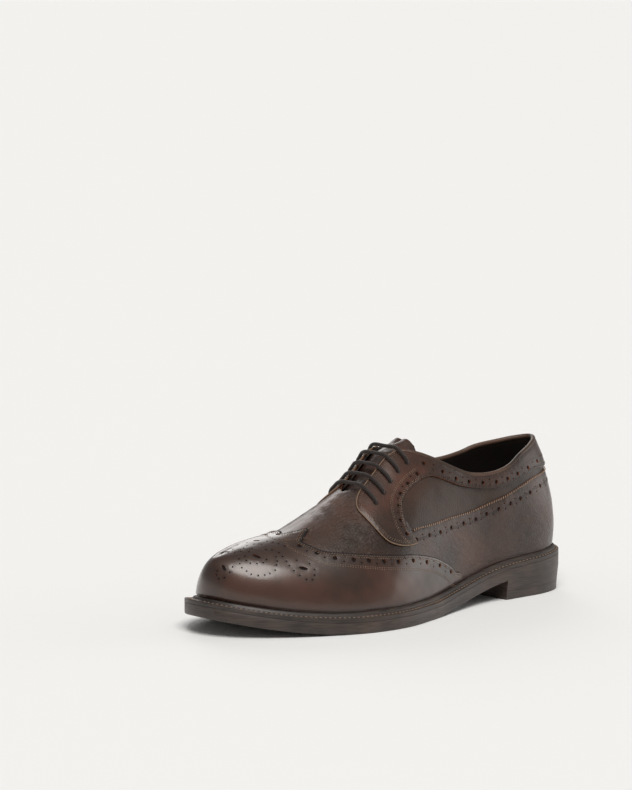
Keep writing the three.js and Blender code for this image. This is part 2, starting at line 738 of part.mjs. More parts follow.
// The welt: a ring on the outsole with a raised bead against the upper.
function weltSection(turn, side) {
  const width = featherInset(turn);
  const at = (inset, height) => {
    const { s, a } = soleOutline(turn, side, inset);
    return new THREE.Vector3(s, a, height(s));
  };
  const beadFoot = width - overlayGap - weltBeadWidth;
  const beadDown = side * downAtHeight(turn, side, weltBead);
  const beadSide = lastPoint(turn, beadDown).addScaledVector(lastNormal(turn, beadDown), overlayGap);
  return [
    at(0, weltBottom),
    at(0, (s) => weltTop(s) - weltChamfer),
    at(weltChamfer, weltTop),
    at(beadFoot, weltTop),
    at(beadFoot + weltBeadWidth * beadFootShare, (s) => weltTop(s) + weltBead * beadShoulderShare),
    beadSide,
    offsetPoint(turn, side, overlayGap),
    offsetPoint(turn, side * sheetFoot, overlayGap),
  ];
}

function makeWelt() {
  const skin = new Skin();
  const rings = [1, -1].map((side) => stations.map((turn) => weltSection(turn, side)));
  rings.forEach((ring, index) => {
    for (let i = 0; i < ring.length - 1; i += 1) {
      ring[i].forEach((point, j) => {
        const k = (j + 1) % ring[i].length;
        const corners = [point, ring[i][k], ring[i + 1][k], ring[i + 1][j]];
        skin.quad(...(index === 0 ? corners : corners.reverse()));
      });
    }
  });
  return makeMesh("welt", skin.points.map(toWorld), skin.faces, weltFinish);
}

// A lace bar lies on both facings and spans the gap between them.
function makeLaceBar(row, index) {
  const turn = turnAt(row.along);
  const lie = overlayGap + overlayThickness + overlayGap + laceDiameter / 2;
  const on = (down) => offsetPoint(turn, down, lie - softSink(turn, down));
  const edge = facingTop(row.along);
  const reach = [row.down, (row.down + edge) / 2, edge];
  const outside = reach.map((down) => on(down));
  const inside = reach.map((down) => on(-down)).reverse();
  const middle = outside[2].clone().add(inside[0]).multiplyScalar(0.5);
  middle.z += laceBow;
  const route = [...outside, middle, ...inside].map((point) => new THREE.Vector3(...toWorld(point)));
  const section = new THREE.Shape();
  for (let k = 0; k < laceSides; k += 1) {
    const angle = (2 * Math.PI * k) / laceSides;
    const corner = [Math.cos(angle) * laceDiameter / 2, Math.sin(angle) * laceDiameter / 2];
    if (k === 0) section.moveTo(...corner);
    else section.lineTo(...corner);
  }
  const path = new THREE.CatmullRomCurve3(route);
  const sweep = { steps: laceSteps, bevelEnabled: false, extrudePath: path };
  const shape = new THREE.ExtrudeGeometry(section, sweep);
  const mesh = new THREE.Mesh(shape, new THREE.MeshStandardMaterial(laceFinish));
  mesh.name = `lace_bar_${index + 1}`;
  return mesh;
}

// Lace holes are punched through facing and wall along the surface's own direction.
function holeCutter(row, side) {
  const turn = turnAt(row.along);
  const centre = new THREE.Vector3(...toWorld(lastPoint(turn, side * row.down)));
  const axis = new THREE.Vector3(...toWorld(lastNormal(turn, side * row.down)));
  const depth = punchReach * (upperWall + overlayThickness);
  const punch = new THREE.CylinderGeometry(laceHole / 2, laceHole / 2, depth, laceSides);
  punch.applyQuaternion(new THREE.Quaternion().setFromUnitVectors(new THREE.Vector3(0, 1, 0), axis));
  punch.translate(centre.x, centre.y, centre.z);
  return punch;
}

function toManifold(geometry) {
  const bare = geometry.clone();
  bare.deleteAttribute("normal");
  bare.deleteAttribute("uv");
  const merged = mergeVertices(bare, 1e-4);
  return new wasm.Manifold(new wasm.Mesh({
    numProp: 3,
    vertProperties: new Float32Array(merged.attributes.position.array),
    triVerts: new Uint32Array(merged.index.array),
  }));
}

function punchHoles(mesh, sides) {
  let body = toManifold(mesh.geometry);
  sides.forEach((side) => laceRows.forEach((row) => {
    body = body.subtract(toManifold(holeCutter(row, side)));
  }));
  const { vertProperties, triVerts } = body.getMesh();
  const geometry = new THREE.BufferGeometry();
  geometry.setAttribute("position", new THREE.BufferAttribute(new Float32Array(vertProperties), 3));
  geometry.setIndex([...triVerts]);
  geometry.computeVertexNormals();
  mesh.geometry = geometry;
  return mesh;
}

const shoe = new THREE.Group();
shoe.add(makeOutsole(), makeHeel(), makeWelt(), makeInsole());
shoe.add(punchHoles(makeUpper(), [1, -1]), makeWingCap(), makeCollarBand(), makeTongue());
shoe.add(punchHoles(makeFacing("facing_lateral", 1), [1]));
shoe.add(punchHoles(makeFacing("facing_medial", -1), [-1]));
laceRows.forEach((row, index) => shoe.add(makeLaceBar(row, index)));

// The origin is on the floor under the middle of the shoe.
const extent = new THREE.Box3().setFromObject(shoe);
const middle = extent.getCenter(new THREE.Vector3());
shoe.position.set(-middle.x, -middle.y, 0);

export default shoe;
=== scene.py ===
import math

import bpy
import numpy as np
from bpy.props import FloatProperty, FloatVectorProperty, PointerProperty
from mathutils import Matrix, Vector
from mathutils.geometry import delaunay_2d_cdt


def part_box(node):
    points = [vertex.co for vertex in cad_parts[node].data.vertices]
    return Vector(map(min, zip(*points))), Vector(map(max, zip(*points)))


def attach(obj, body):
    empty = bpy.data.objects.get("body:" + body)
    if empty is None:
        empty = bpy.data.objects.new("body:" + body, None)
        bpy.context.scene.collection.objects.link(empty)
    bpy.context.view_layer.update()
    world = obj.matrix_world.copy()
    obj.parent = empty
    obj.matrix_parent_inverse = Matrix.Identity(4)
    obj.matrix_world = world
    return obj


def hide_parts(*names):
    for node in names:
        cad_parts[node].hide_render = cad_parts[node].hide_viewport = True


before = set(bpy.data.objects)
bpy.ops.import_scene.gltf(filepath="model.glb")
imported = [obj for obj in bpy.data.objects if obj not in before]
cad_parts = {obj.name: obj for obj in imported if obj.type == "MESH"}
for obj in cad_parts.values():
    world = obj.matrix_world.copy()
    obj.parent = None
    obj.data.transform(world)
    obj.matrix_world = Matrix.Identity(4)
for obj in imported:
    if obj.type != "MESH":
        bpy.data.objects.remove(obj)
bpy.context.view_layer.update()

bl_info = {
    "name": "Wing-tip derby brogue",
    "version": (1, 0, 0),
    "blender": (4, 5, 0),
    "location": "View3D > Sidebar > Brogue",
    "description": "Builds the leather, stitching, sole and lace of a left brogue round its packed frame",
    "category": "Object",
}

MM = 0.001

# Kinds of face in a leather piece, in the order of its materials
SKIN, BACK, CUT = 0, 1, 2

# Sizes of the last and its welt that the panel doesn't hold, in millimetres
RIDGE_BACK = 30
RIDGE_FRONT = 281
FLARE_WIDTH = 5
SHOULDER_WIDTH = 30
HEEL_LEAN = 8
SEAT_GAP = 0.3
BEAD_WIDTH = 2.6
BEAD_GAP = 0.4

# Shares of the sole's length where the tread starts, the toe lifts, the throat lies and the band ends
TREAD_ALONG = 0.5
SPRING_ALONG = 0.73
THROAT_ALONG = 0.628
JOIN_ALONG = 0.455

# How steeply the arch starts at the heel, how fast the toe lifts, and how far the inner topline rises
HEEL_SLOPE = -1.6
SPRING_POWER = 1.8
INNER_LIFT = 0.065

# Rough millimetres over the surface for one unit of turn and one of down
TURN_SCALE = 150
DOWN_SCALE = 95
SURFACE_SCALE = np.array([TURN_SCALE, DOWN_SCALE], float)

# Leather pieces laid on the last, in millimetres. A level is the height of a piece's back over the last,
# and a reach is how far the rounding of an edge or a hole goes into the leather.
PANEL_STEP = 1.0
VAMP_THICKNESS = 0.95
CAP_THICKNESS = 1.05
CAP_LEVEL = 0.08
CAP_OVER_BEAD = 0.9
PANEL_THICKNESS = 1.25
PANEL_LEVEL = 0.12
GIMP_PITCH = 2.1
EDGE_REACH = 0.7
HOLE_REACH = 0.9

# Punched holes, in millimetres: radii, and how far a pair of small ones stands from the row
BIG_HOLE = 1.5
WING_HOLE = 1.6
SMALL_HOLE = 0.6
LACE_HOLE = 1.7
PAIR_SPREAD = 1.75
# How far the painted shade disc in a hole lies over the panel's back
HOLE_SHADE_LIFT = 0.05

# Stations run from heel to toe as a share of the sole, widths as shares of the named widths
SOLE_COLUMNS = ("along", "heel", "waist", "ball", "curve")
SOLE_ROWS = (
    (0, 0, 0, 0, 0),
    (0.03, 0.68, 0, 0, 0),
    (0.1, 0.955, 0, 0, 0.01),
    (0.2, 1, 0, 0, 0.02),
    (0.3, 0.3, 0.63, 0, 0.2),
    (0.4, 0, 1, 0, 0.48),
    (0.5, 0, 0, 0.81, 0.585),
    (0.6, 0, 0, 0.965, 0.57),
    (0.7, 0, 0, 1, 0.39),
    (0.8, 0, 0, 0.907, 0.04),
    (0.9, 0, 0, 0.71, -0.27),
    (0.965, 0, 0, 0.455, -0.41),
    (1, 0, 0, 0, -0.45),
)
ARCH_COLUMNS = ("along", "rise")
ARCH_ROWS = ((0, 1.39), (0.12, 1.2), (0.2267, 1), (0.317, 0.6), (0.4, 0.26), (0.46, 0.07), (0.5, 0), (0.6, 0))
FEATHER_COLUMNS = ("along", "inset")
FEATHER_ROWS = ((0, 0.6), (0.15, 0.65), (0.3, 0.7), (0.5, 0.79), (0.7, 0.875), (0.85, 0.9), (1, 1))
SECTION_COLUMNS = ("along", "instep", "toe", "ridge", "flare_out", "flare_in", "rise",
                   "shoulder_out", "shoulder_in", "brow", "lean")
SECTION_ROWS = (
    (0, 1, 0, 0, 1.1, 1.1, 0.265, 0.633, 0.633, 0.56, 1),
    (0.05, 1, 0, 0, 1.1, 1.1, 0.265, 0.8, 0.8, 0.62, 0.9),
    (0.12, 1, 0, 0, 1.05, 0.95, 0.27, 0.933, 0.933, 0.75, 0.55),
    (0.22, 0.992, 0, 0, 1, 0.9, 0.28, 1, 1, 0.86, 0.2),
    (0.32, 0.954, 0, 0, 0.9, 0.8, 0.32, 1, 0.967, 0.9, 0),
    (0.42, 0.892, 0, 0, 0.9, 1, 0.34, 1, 0.9, 0.93, 0),
    (0.5, 0.819, 0, 0, 0.9, 1, 0.36, 0.967, 0.867, 0.98, 0),
    (0.6, 0.6, 0.165, 0.25, 0.5, 0.7, 0.38, 0.9, 0.73, 1, 0),
    (0.7, 0.28, 0.705, 0.13, 0.6, 0.55, 0.4, 0.9, 0.77, 1, 0),
    (0.8, 0.1, 0.96, 0, 0.6, 0.4, 0.46, 0.867, 0.56, 1, 0),
    (0.9, 0, 1.115, -0.32, 0.8, -0.5, 0.5, 0.733, 0.46, 1, 0),
    (1, 0, 0.97, -0.36, 0.45, 0.45, 0.52, 0.33, 0.33, 1, 0),
)

# Lines drawn on the upper: along the shoe, and down from the ridge at 0 to the welt at 1. The wing's line
# runs across the toe, so its rows hold down first, and MEDIAL_RISE holds the share of the inner rise.
TOPLINE = ((0, 0.228), (0.05, 0.28), (0.1, 0.355), (0.15, 0.432), (0.2, 0.471), (0.25, 0.475), (0.3, 0.447),
           (0.35, 0.381), (0.4, 0.288), (0.44, 0.208), (0.47, 0.152), (0.5, 0.134), (0.55, 0.13),
           (0.59, 0.132), (0.612, 0.112), (0.628, 0))
MEDIAL_RISE = ((0, 0), (0.12, 1), (0.3, 1), (0.41, 0), (1, 0))
FOXING = ((0, 0.39), (0.03, 0.432), (0.08, 0.481), (0.13, 0.538), (0.17, 0.577), (0.21, 0.606),
          (0.26, 0.626), (0.32, 0.635), (0.4, 0.618), (0.475, 0.606), (0.537, 0.582), (0.6, 0.57), (1, 0.57))
BAND = ((0, 0.38), (0.06, 0.421), (0.117, 0.485), (0.16, 0.524), (0.2, 0.543), (0.234, 0.547), (0.268, 0.537),
        (0.303, 0.518), (0.34, 0.486), (0.37, 0.447), (0.4, 0.404), (0.425, 0.378), (0.455, 0.372))
VAMP_UNDER_FACING = ((0.537, 0.582), (0.55, 0.48), (0.572, 0.3), (0.592, 0.17), (0.61, 0.1), (0.628, 0))
FACING_FRONT = ((0.455, 0.18), (0.47, 0.153), (0.5, 0.135), (0.55, 0.13), (0.59, 0.136), (0.612, 0.153),
                (0.628, 0.187), (0.637, 0.225), (0.641, 0.27), (0.638, 0.34), (0.633, 0.404), (0.627, 0.463),
                (0.62, 0.514), (0.608, 0.562), (0.582, 0.612), (0.554, 0.643), (0.53, 0.655))
FACING_BACK = ((0.53, 0.655), (0.541, 0.605), (0.552, 0.565), (0.554, 0.507), (0.549, 0.454), (0.541, 0.418),
               (0.523, 0.397), (0.495, 0.384), (0.466, 0.375), (0.455, 0.372))
WING = ((-1, 0.36), (-0.95, 0.374), (-0.9, 0.392), (-0.851, 0.413), (-0.793, 0.454), (-0.755, 0.492),
        (-0.724, 0.528), (-0.662, 0.59), (-0.607, 0.643), (-0.549, 0.69), (-0.481, 0.731), (-0.436, 0.749),
        (-0.381, 0.767), (-0.33, 0.785), (-0.27, 0.798), (-0.18, 0.808), (-0.09, 0.815), (0, 0.82),
        (0.05, 0.826), (0.084, 0.822), (0.121, 0.801), (0.155, 0.777), (0.171, 0.762), (0.19, 0.769),
        (0.225, 0.783), (0.275, 0.798), (0.32, 0.792), (0.359, 0.784), (0.429, 0.767), (0.47, 0.746),
        (0.506, 0.721), (0.549, 0.69), (0.607, 0.643), (0.662, 0.59), (0.724, 0.528), (0.755, 0.492),
        (0.793, 0.454), (0.851, 0.413), (0.9, 0.392), (0.95, 0.374), (1, 0.36))
SPEAR = 0.171
TONGUE = ((0.412, 0.16), (0.422, 0.23), (0.437, 0.265), (0.46, 0.275), (0.5, 0.27), (0.6, 0.25),
          (0.66, 0.23), (0.7, 0.17))
LACE_ROWS = ((0.6, 0.3), (0.572, 0.283), (0.542, 0.268), (0.51, 0.262), (0.475, 0.252))

# Large punched holes of each row, along and down. A pair of small ones stands between each two.
FOXING_HOLES = ((0.528, 0.639), (0.481, 0.652), (0.439, 0.662), (0.395, 0.668), (0.348, 0.676),
                (0.303, 0.682), (0.265, 0.673), (0.226, 0.662), (0.186, 0.642), (0.151, 0.617),
                (0.115, 0.583), (0.073, 0.538), (0.03, 0.49))
BAND_HOLES = ((0.43, 0.3), (0.382, 0.388), (0.345, 0.451), (0.303, 0.49), (0.258, 0.514), (0.217, 0.522),
              (0.179, 0.508), (0.141, 0.478), (0.102, 0.438), (0.058, 0.384), (0.018, 0.338))
FACING_HOLES = ((0.464, 0.339), (0.502, 0.36), (0.534, 0.374), (0.552, 0.42), (0.564, 0.49), (0.56, 0.575))
WING_HOLES = ((0.807, 0.318), (0.779, 0.436), (0.747, 0.518), (0.71, 0.57), (0.677, 0.609), (0.641, 0.651),
              (0.603, 0.688), (0.557, 0.724), (0.509, 0.771), (0.459, 0.815), (0.413, 0.878))
WING_HOLES_INSIDE = ((0.832, 0.07), (0.829, -0.06), (0.822, -0.2), (0.807, -0.33), (0.776, -0.441),
                     (0.745, -0.518), (0.71, -0.572), (0.677, -0.611), (0.641, -0.652), (0.603, -0.689),
                     (0.557, -0.726), (0.509, -0.771), (0.459, -0.815), (0.413, -0.878))

# Soft creases of the vamp: where each runs on the ridge, how far it sways towards the toe at the sides and
# how far down it reaches, with its depth and width in millimetres
CREASES = (
    {"along": 0.652, "sway": 0.012, "reach": 0.42, "depth": 0.16, "width": 2.6},
    {"along": 0.673, "sway": 0.02, "reach": 0.5, "depth": 0.2, "width": 3.0},
    {"along": 0.698, "sway": 0.03, "reach": 0.45, "depth": 0.16, "width": 2.6},
    {"along": 0.724, "sway": 0.036, "reach": 0.36, "depth": 0.12, "width": 2.4},
)

# Toe medallion: along, down, radius, stretch and turn of the long holes, and along and down of each dot
MEDALLION_LONG = (
    (0.892, 0.086, 0.8, 2.9, 0.0), (0.985, 0.03, 0.9, 2.6, 0.5), (0.98, 0.444, 1.0, 2.4, 0.35),
    (0.91, 0.353, 1.15, 2.5, 0.0), (0.825, 0.548, 1.2, 2.5, -0.45),
)
MEDALLION_DOTS = (
    (0.949, 0.418), (0.947, 0.478), (0.94, 0.53), (0.933, 0.572), (0.921, 0.594), (0.908, 0.592),
    (0.897, 0.578), (0.884, 0.545), (0.877, 0.491), (0.872, 0.445), (0.934, 0.387), (0.928, 0.432),
    (0.915, 0.45), (0.902, 0.449), (0.892, 0.412), (0.87, 0.396), (0.856, 0.402), (0.853, 0.458),
    (0.851, 0.506), (0.846, 0.563), (0.838, 0.611), (0.827, 0.654), (0.815, 0.661), (0.807, 0.623),
    (0.802, 0.576), (0.807, 0.515), (0.83, 0.462), (0.948, 0.342), (0.964, 0.45), (0.971, 0.524),
    (0.981, 0.6), (0.989, 0.62), (0.992, 0.557), (0.991, 0.487), (0.957, 0.097), (0.942, -0.011),
    (0.969, 0.158), (0.954, 0.215), (0.94, 0.223), (0.93, 0.166), (0.922, 0.261), (0.934, 0.319),
    (0.917, 0.061), (0.92, 0.14), (0.903, 0.146), (0.887, 0.185), (0.87, 0.157), (0.859, 0.198),
    (0.848, 0.233), (0.839, 0.281), (0.913, 0.227), (0.883, 0.281), (0.871, 0.305), (0.859, 0.349),
)

# Rows of stitches, in millimetres: distance from the edge, pitch, length, width, height over the leather,
# and how much of the line stays bare at its start and stop
SEAMS = {
    "foxing_edge": {"away": (0.3,), "pitch": 2.2, "length": 2.4, "width": 1.0, "lift": 0.4,
                    "start": 1, "stop": 1},
    "foxing": {"away": (6.5, 7.5), "pitch": 1.7, "length": 1.4, "width": 0.5, "lift": 0.06,
               "start": 1, "stop": 1},
    "wing_edge": {"away": (1.2, 2.4), "pitch": 1.7, "length": 1.2, "width": 0.6, "lift": 0.12,
                  "start": 0, "stop": 3},
    "wing": {"away": (8.6, 9.7), "pitch": 1.7, "length": 1.2, "width": 0.6, "lift": 0.12,
             "start": 4, "stop": 6},
    "band": {"away": (0.9, 1.8, 6.6), "pitch": 1.6, "length": 1.25, "width": 0.45, "lift": 0.03,
             "start": 0, "stop": 0},
    "facing_back": {"away": (1.0, 2.0, 7.0, 8.0), "pitch": 1.7, "length": 1.2, "width": 0.6, "lift": 0.12,
                    "start": 1.5, "stop": 1},
    "facing_front": {"away": (1.6, 2.7), "pitch": 1.7, "length": 1.2, "width": 0.55, "lift": 0.12,
                     "start": 2, "stop": 2},
}
WELT_STITCH = {"pitch": 3.2, "length": 2.7, "width": 1.15, "lift": 0.05}
GIMP_STITCH_SLANT = 50

# Trimmed edges from the bottom up, in millimetres: how far in, from which level, and how far above it
SOLE_EDGE = ((1.0, "bottom", 0), (0.35, "bottom", 0.25), (0.0, "bottom", 1.0),
             (0.0, "top", 0.12), (0.12, "top", 0.25), (0.9, "top", 0.28))
HEEL_EDGE = ((1.9, "floor", 0), (1.3, "floor", 0.5), (1.0, "floor", 5.9), (1.12, "floor", 6.0),
             (0.95, "floor", 6.1), (-0.02, "seat", 0.02), (-0.03, "seat", 1.4), (1.5, "seat", 1.4))

# The welt's section from its edge to its bead: share of the way in to the bead, and then the distance
# added to it and the height over the welt's top in millimetres
WELT_SECTION = ((0, 0, -0.55), (0, 0.2, -0.15), (0, 0.65, 0), (0.45, 0, -0.12), (0.55, 0, -0.45),
                (0.72, 0, -0.45), (0.85, 0, -0.1), (1, 0.1, 0.25), (1, 0.5, 1.1), (1, 1.0, 1.9),
                (1, 1.7, 2.35))
WELT_GROOVE = 0.62

# Finishes of the upper's leathers: gloss, scale and depth of the grain, and how strongly the dark edges,
# the red wear and the relief show
LEATHERS = {
    "vamp": {"name": "Vamp calf", "base": "leather", "roughness": 0.4, "coat": 0.55, "scale": 760,
             "depth": 1.0, "edge": 0.7, "warmth": 0.5, "bump": 0.5, "pulled": 4.0},
    "cap": {"name": "Cap calf", "base": "leather", "roughness": 0.34, "coat": 1.0, "scale": 1100,
            "depth": 0.5, "edge": 0.75, "warmth": 0.5, "bump": 0.18},
    "quarter": {"name": "Quarter calf", "base": "quarter", "roughness": 0.47, "coat": 0.3, "scale": 900,
                "depth": 1.0, "edge": 0.5, "warmth": 0.2, "bump": 0.4},
    "facing": {"name": "Facing calf", "base": "leather", "roughness": 0.45, "coat": 0.45, "scale": 850,
               "depth": 1.0, "edge": 0.6, "warmth": 0.9, "bump": 0.45},
    "roll": {"name": "Folded edge", "base": "edge", "roughness": 0.5, "coat": 0.15, "scale": 1200,
             "depth": 0.8, "edge": 0.2, "warmth": 0.4, "bump": 0.3},
    "lining": {"name": "Lining leather", "roughness": 0.8, "coat": 0.0, "scale": 600,
               "depth": 0.6, "edge": 0.3, "warmth": 0.3, "bump": 0.2},
}
LINING_COLORS = ((0.008, 0.006, 0.005), (0.004, 0.003, 0.003), (0.012, 0.008, 0.006))
POLISH_TINT = (1, 0.84, 0.74, 1)
COAT_ROUGHNESS = 0.22
# Painted shade at the bottom of the punched holes
HOLE_SHADE_COLOR = (0.012, 0.006, 0.005)
# Colour of the painted shadow along the wing cap's edge
EDGE_SHADOW_COLOR = (0.006, 0.004, 0.0035)

# Soft suns: where each shines to, its spread in degrees and its strength
SUNS = (
    ("Overhead", (-0.42, 0.26, -0.87), 36, 2.2),
    ("From behind", (0.75, -0.45, -0.5), 30, 0.5),
    ("From the heel", (-0.36, -0.93, -0.06), 50, 0.7),
)


class Last:
    """The shoe's surface, worked out from its named sizes. Lengths are in millimetres."""

    def __init__(self, sizes):
        self.length = sizes.sole_length / MM
        self.heel_width = sizes.heel_width / MM
        self.waist_width = sizes.waist_width / MM
        self.ball_width = sizes.ball_width / MM
        self.heel_length = sizes.heel_length / MM
        self.heel_height = sizes.heel_height / MM
        self.instep = sizes.instep_height / MM
        self.toe = sizes.toe_height / MM
        self.curve = sizes.last_curve / MM
        self.spring = sizes.toe_spring / MM
        self.outsole = sizes.outsole_thickness / MM
        self.welt = sizes.welt_thickness / MM
        self.welt_width = sizes.welt_width / MM
        self.bead = sizes.welt_bead / MM
        self.wall = sizes.upper_wall / MM
        sole = columns(SOLE_COLUMNS, SOLE_ROWS)
        turns = turn_at(sole["along"])
        half = (sole["heel"] * self.heel_width + sole["waist"] * self.waist_width
                + sole["ball"] * self.ball_width) / 2
        self.half = smooth_curve(turns, half, half[1] / turns[1],
                                 (half[-1] - half[-2]) / (turns[-1] - turns[-2]))
        self.centre = smooth_curve(turns, sole["curve"] * self.curve)
        arch = columns(ARCH_COLUMNS, ARCH_ROWS)
        self.arch = smooth_curve(arch["along"], arch["rise"], HEEL_SLOPE, 0)
        feather = columns(FEATHER_COLUMNS, FEATHER_ROWS)
        self.inset = smooth_curve(turn_at(feather["along"]), feather["inset"] * self.welt_width)
        part = columns(SECTION_COLUMNS, SECTION_ROWS)
        turns = turn_at(part["along"])
        self.top = smooth_curve(turns, part["instep"] * self.instep + part["toe"] * self.toe)
        self.ridge = smooth_curve(turns, part["ridge"] * self.curve)
        self.flare_out = smooth_curve(turns, part["flare_out"] * FLARE_WIDTH)
        self.flare_in = smooth_curve(turns, part["flare_in"] * FLARE_WIDTH)
        self.rise = smooth_curve(turns, part["rise"])
        self.shoulder_out = smooth_curve(turns, part["shoulder_out"] * SHOULDER_WIDTH)
        self.shoulder_in = smooth_curve(turns, part["shoulder_in"] * SHOULDER_WIDTH)
        self.brow = smooth_curve(turns, part["brow"])
        self.lean = smooth_curve(turns, part["lean"] * HEEL_LEAN)
        self.topline_curve = line_curve(TOPLINE)
        self.foxing = line_curve(FOXING)
        low, high = (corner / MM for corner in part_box("outsole"))
        stations = np.linspace(0, math.pi, 721)
        reach = [self.outline(stations, side)[1] for side in (1, -1)]
        middle = (max(reach[0].max(), reach[1].max()) + min(reach[0].min(), reach[1].min())) / 2
        self.shift = np.array([(low.x + high.x) / 2 - middle, high.y, 0])

    def ground(self, s):
        """Height of the sole's underside over the floor."""
        along = np.clip(s / self.length, 0, 1)
        back = self.arch(np.minimum(along, TREAD_ALONG)) * self.heel_height
        lift = np.clip((along - SPRING_ALONG) / (1 - SPRING_ALONG), 0, 1)
        return np.where(along < TREAD_ALONG, back, self.spring * lift ** SPRING_POWER)

    def sole_top(self, s):
        return self.ground(s) + self.outsole

    def welt_bottom(self, s):
        return self.sole_top(s) + SEAT_GAP

    def welt_top(self, s):
        return self.welt_bottom(s) + self.welt

    def bead_foot(self, turn):
        """How far in from the sole's edge the welt's bead starts."""
        return self.inset(turn) - BEAD_GAP - BEAD_WIDTH

    def outline(self, turn, side, inset=0.0):
        """Stations, places across and outward directions of the sole's edge, set in by a distance."""
        turn = np.asarray(turn, float)
        side = np.broadcast_to(np.asarray(side, float), turn.shape)
        step = 1e-4

        def place(value):
            return self.length * (1 - np.cos(value)) / 2, self.centre(value) + side * self.half(value)

        s, a = place(turn)
        s0, a0 = place(np.clip(turn - step, 0, math.pi))
        s1, a1 = place(np.clip(turn + step, 0, math.pi))
        size = np.hypot(s1 - s0, a1 - a0)
        ns, na = -side * (a1 - a0) / size, side * (s1 - s0) / size
        ends = (turn < step, turn > math.pi - step)
        ns = np.where(ends[0], -1.0, np.where(ends[1], 1.0, ns))
        na = np.where(ends[0] | ends[1], 0.0, na)
        return s - ns * inset, a - na * inset, ns, na

    def point(self, turn, down):
        """Points of the last's surface as stations, across and up."""
        turn, down = np.broadcast_arrays(np.asarray(turn, float), np.asarray(down, float))
        side = np.where(down >= 0, 1.0, -1.0)
        s, a, ns, na = self.outline(turn, side, self.inset(turn))
        z0 = self.welt_top(s)
        top = self.top(turn)
        flare = np.where(side > 0, self.flare_out(turn), self.flare_in(turn))
        shoulder = np.where(side > 0, self.shoulder_out(turn), self.shoulder_in(turn))
        ridge_s = RIDGE_BACK + (RIDGE_FRONT - RIDGE_BACK) * along_at(turn) - self.lean(turn)
        ridge_a = self.ridge(turn)
        t = 1 - np.minimum(1, np.abs(down))
        weights = ((1 - t) ** 3, 3 * (1 - t) ** 2 * t, 3 * (1 - t) * t * t, t ** 3)
        ends = (
            (s, a, z0),
            (s + ns * flare, a + na * flare, z0 + (top - z0) * self.rise(turn)),
            (ridge_s + ns * shoulder, ridge_a + na * shoulder, z0 + (top - z0) * self.brow(turn)),
            (ridge_s, ridge_a, top),
        )
        return np.stack([sum(w * end[k] for w, end in zip(weights, ends)) for k in range(3)], -1)

    def slopes(self, turn, down):
        """How the surface moves with turn and with down."""
        step = 1e-3
        turn = np.clip(turn, 2 * step, math.pi - 2 * step)
        down = np.clip(down, -1 + 2 * step, 1 - 2 * step)
        along = (self.point(turn + step, down) - self.point(turn - step, down)) / (2 * step)
        rib = (self.point(turn, down + step) - self.point(turn, down - step)) / (2 * step)
        return along, rib

    def normal(self, turn, down):
        turn, down = np.broadcast_arrays(np.asarray(turn, float), np.asarray(down, float))

        def raw(t, d):
            along, rib = self.slopes(t, d)
            return unit(np.cross(along, rib))

        step = 1e-3
        normal = raw(turn, down)
        seam = (turn < step) | (turn > math.pi - step)
        normal = np.where(seam[..., None], unit(raw(turn, down) + raw(turn, -down)), normal)
        ridge = np.abs(down) < step
        across = unit(raw(turn, down * 0 + 2 * step) + raw(turn, down * 0 - 2 * step))
        return np.where(ridge[..., None], across, normal)

    def offset(self, turn, down, out):
        """Points moved out from the surface. Past the welt line the wall drops to the outsole."""
        turn, down, out = np.broadcast_arrays(*(np.asarray(x, float) for x in (turn, down, out)))
        points = self.point(turn, down) + self.normal(turn, down) * out[..., None]
        side = np.where(down >= 0, 1.0, -1.0)
        s, a, ns, na = self.outline(turn, side, self.inset(turn))
        foot = np.stack([s + ns * out, a + na * out, self.welt_bottom(s + ns * out)], -1)
        return np.where((np.abs(down) > 1)[..., None], foot, points)

    def down_at_height(self, turn, side, height):
        """The step down the rib that lies at a height above the welt."""
        s, _, _, _ = self.outline(turn, side, self.inset(turn))
        return 1 - height / (3 * self.rise(turn) * (self.top(turn) - self.welt_top(s)))

    def axes(self, turn, down):
        """Unit direction along the shoe, the one to its left and the normal, at a spot."""
        slope, _ = self.slopes(turn, down)
        normal = self.normal(turn, down)
        ahead = unit(slope)
        return ahead, unit(np.cross(normal, ahead)), normal

    def topline(self, turn, side):
        along = along_at(turn)
        share = np.interp(along, *zip(*MEDIAL_RISE)) * (0 if side > 0 else INNER_LIFT)
        return np.where(along >= THROAT_ALONG - 1e-6, 0.0, self.topline_curve(turn) * (1 - share))

    def soft_sink(self, turn, down):
        """How far the facings and the band settle where the quarter lies lower than the vamp."""
        fade_from, fade_to, full_above, none_below = 0.535, 0.6, 0.2, 0.06
        front = 1 - smooth_step(along_at(turn), fade_from, fade_to)
        edge = self.foxing(turn)
        return front * (1 - smooth_step(np.abs(down), edge - full_above, edge - none_below))

    def panel_back(self, turn, down):
        """Height of the back of the facings and the band over the last."""
        return PANEL_LEVEL - self.soft_sink(turn, down)

    def panel_face(self, turn, down):
        """Height of the face of the facings and the band over the last."""
        return self.panel_back(turn, down) + PANEL_THICKNESS

    # Height of the painted shade discs in the holes of the facings and the band
    def panel_hole_shade(self, turn, down):
        return self.panel_back(turn, down) + HOLE_SHADE_LIFT

    def world(self, points):
        """Stations, across and up turned into metres in the part's frame."""
        points = np.asarray(points, float)
        return (np.stack([points[..., 1], -points[..., 0], points[..., 2]], -1) + self.shift) * MM


def columns(names, rows):
    return {name: np.array([row[k] for row in rows], float) for k, name in enumerate(names)}


def turn_at(along):
    return np.arccos(1 - 2 * np.clip(along, 0, 1))


def along_at(turn):
    return (1 - np.cos(turn)) / 2


def unit(vectors):
    return vectors / (np.linalg.norm(vectors, axis=-1, keepdims=True) + 1e-12)


def smooth_step(value, low, high):
    t = np.clip((value - low) / (high - low), 0, 1)
    return t * t * (3 - 2 * t)


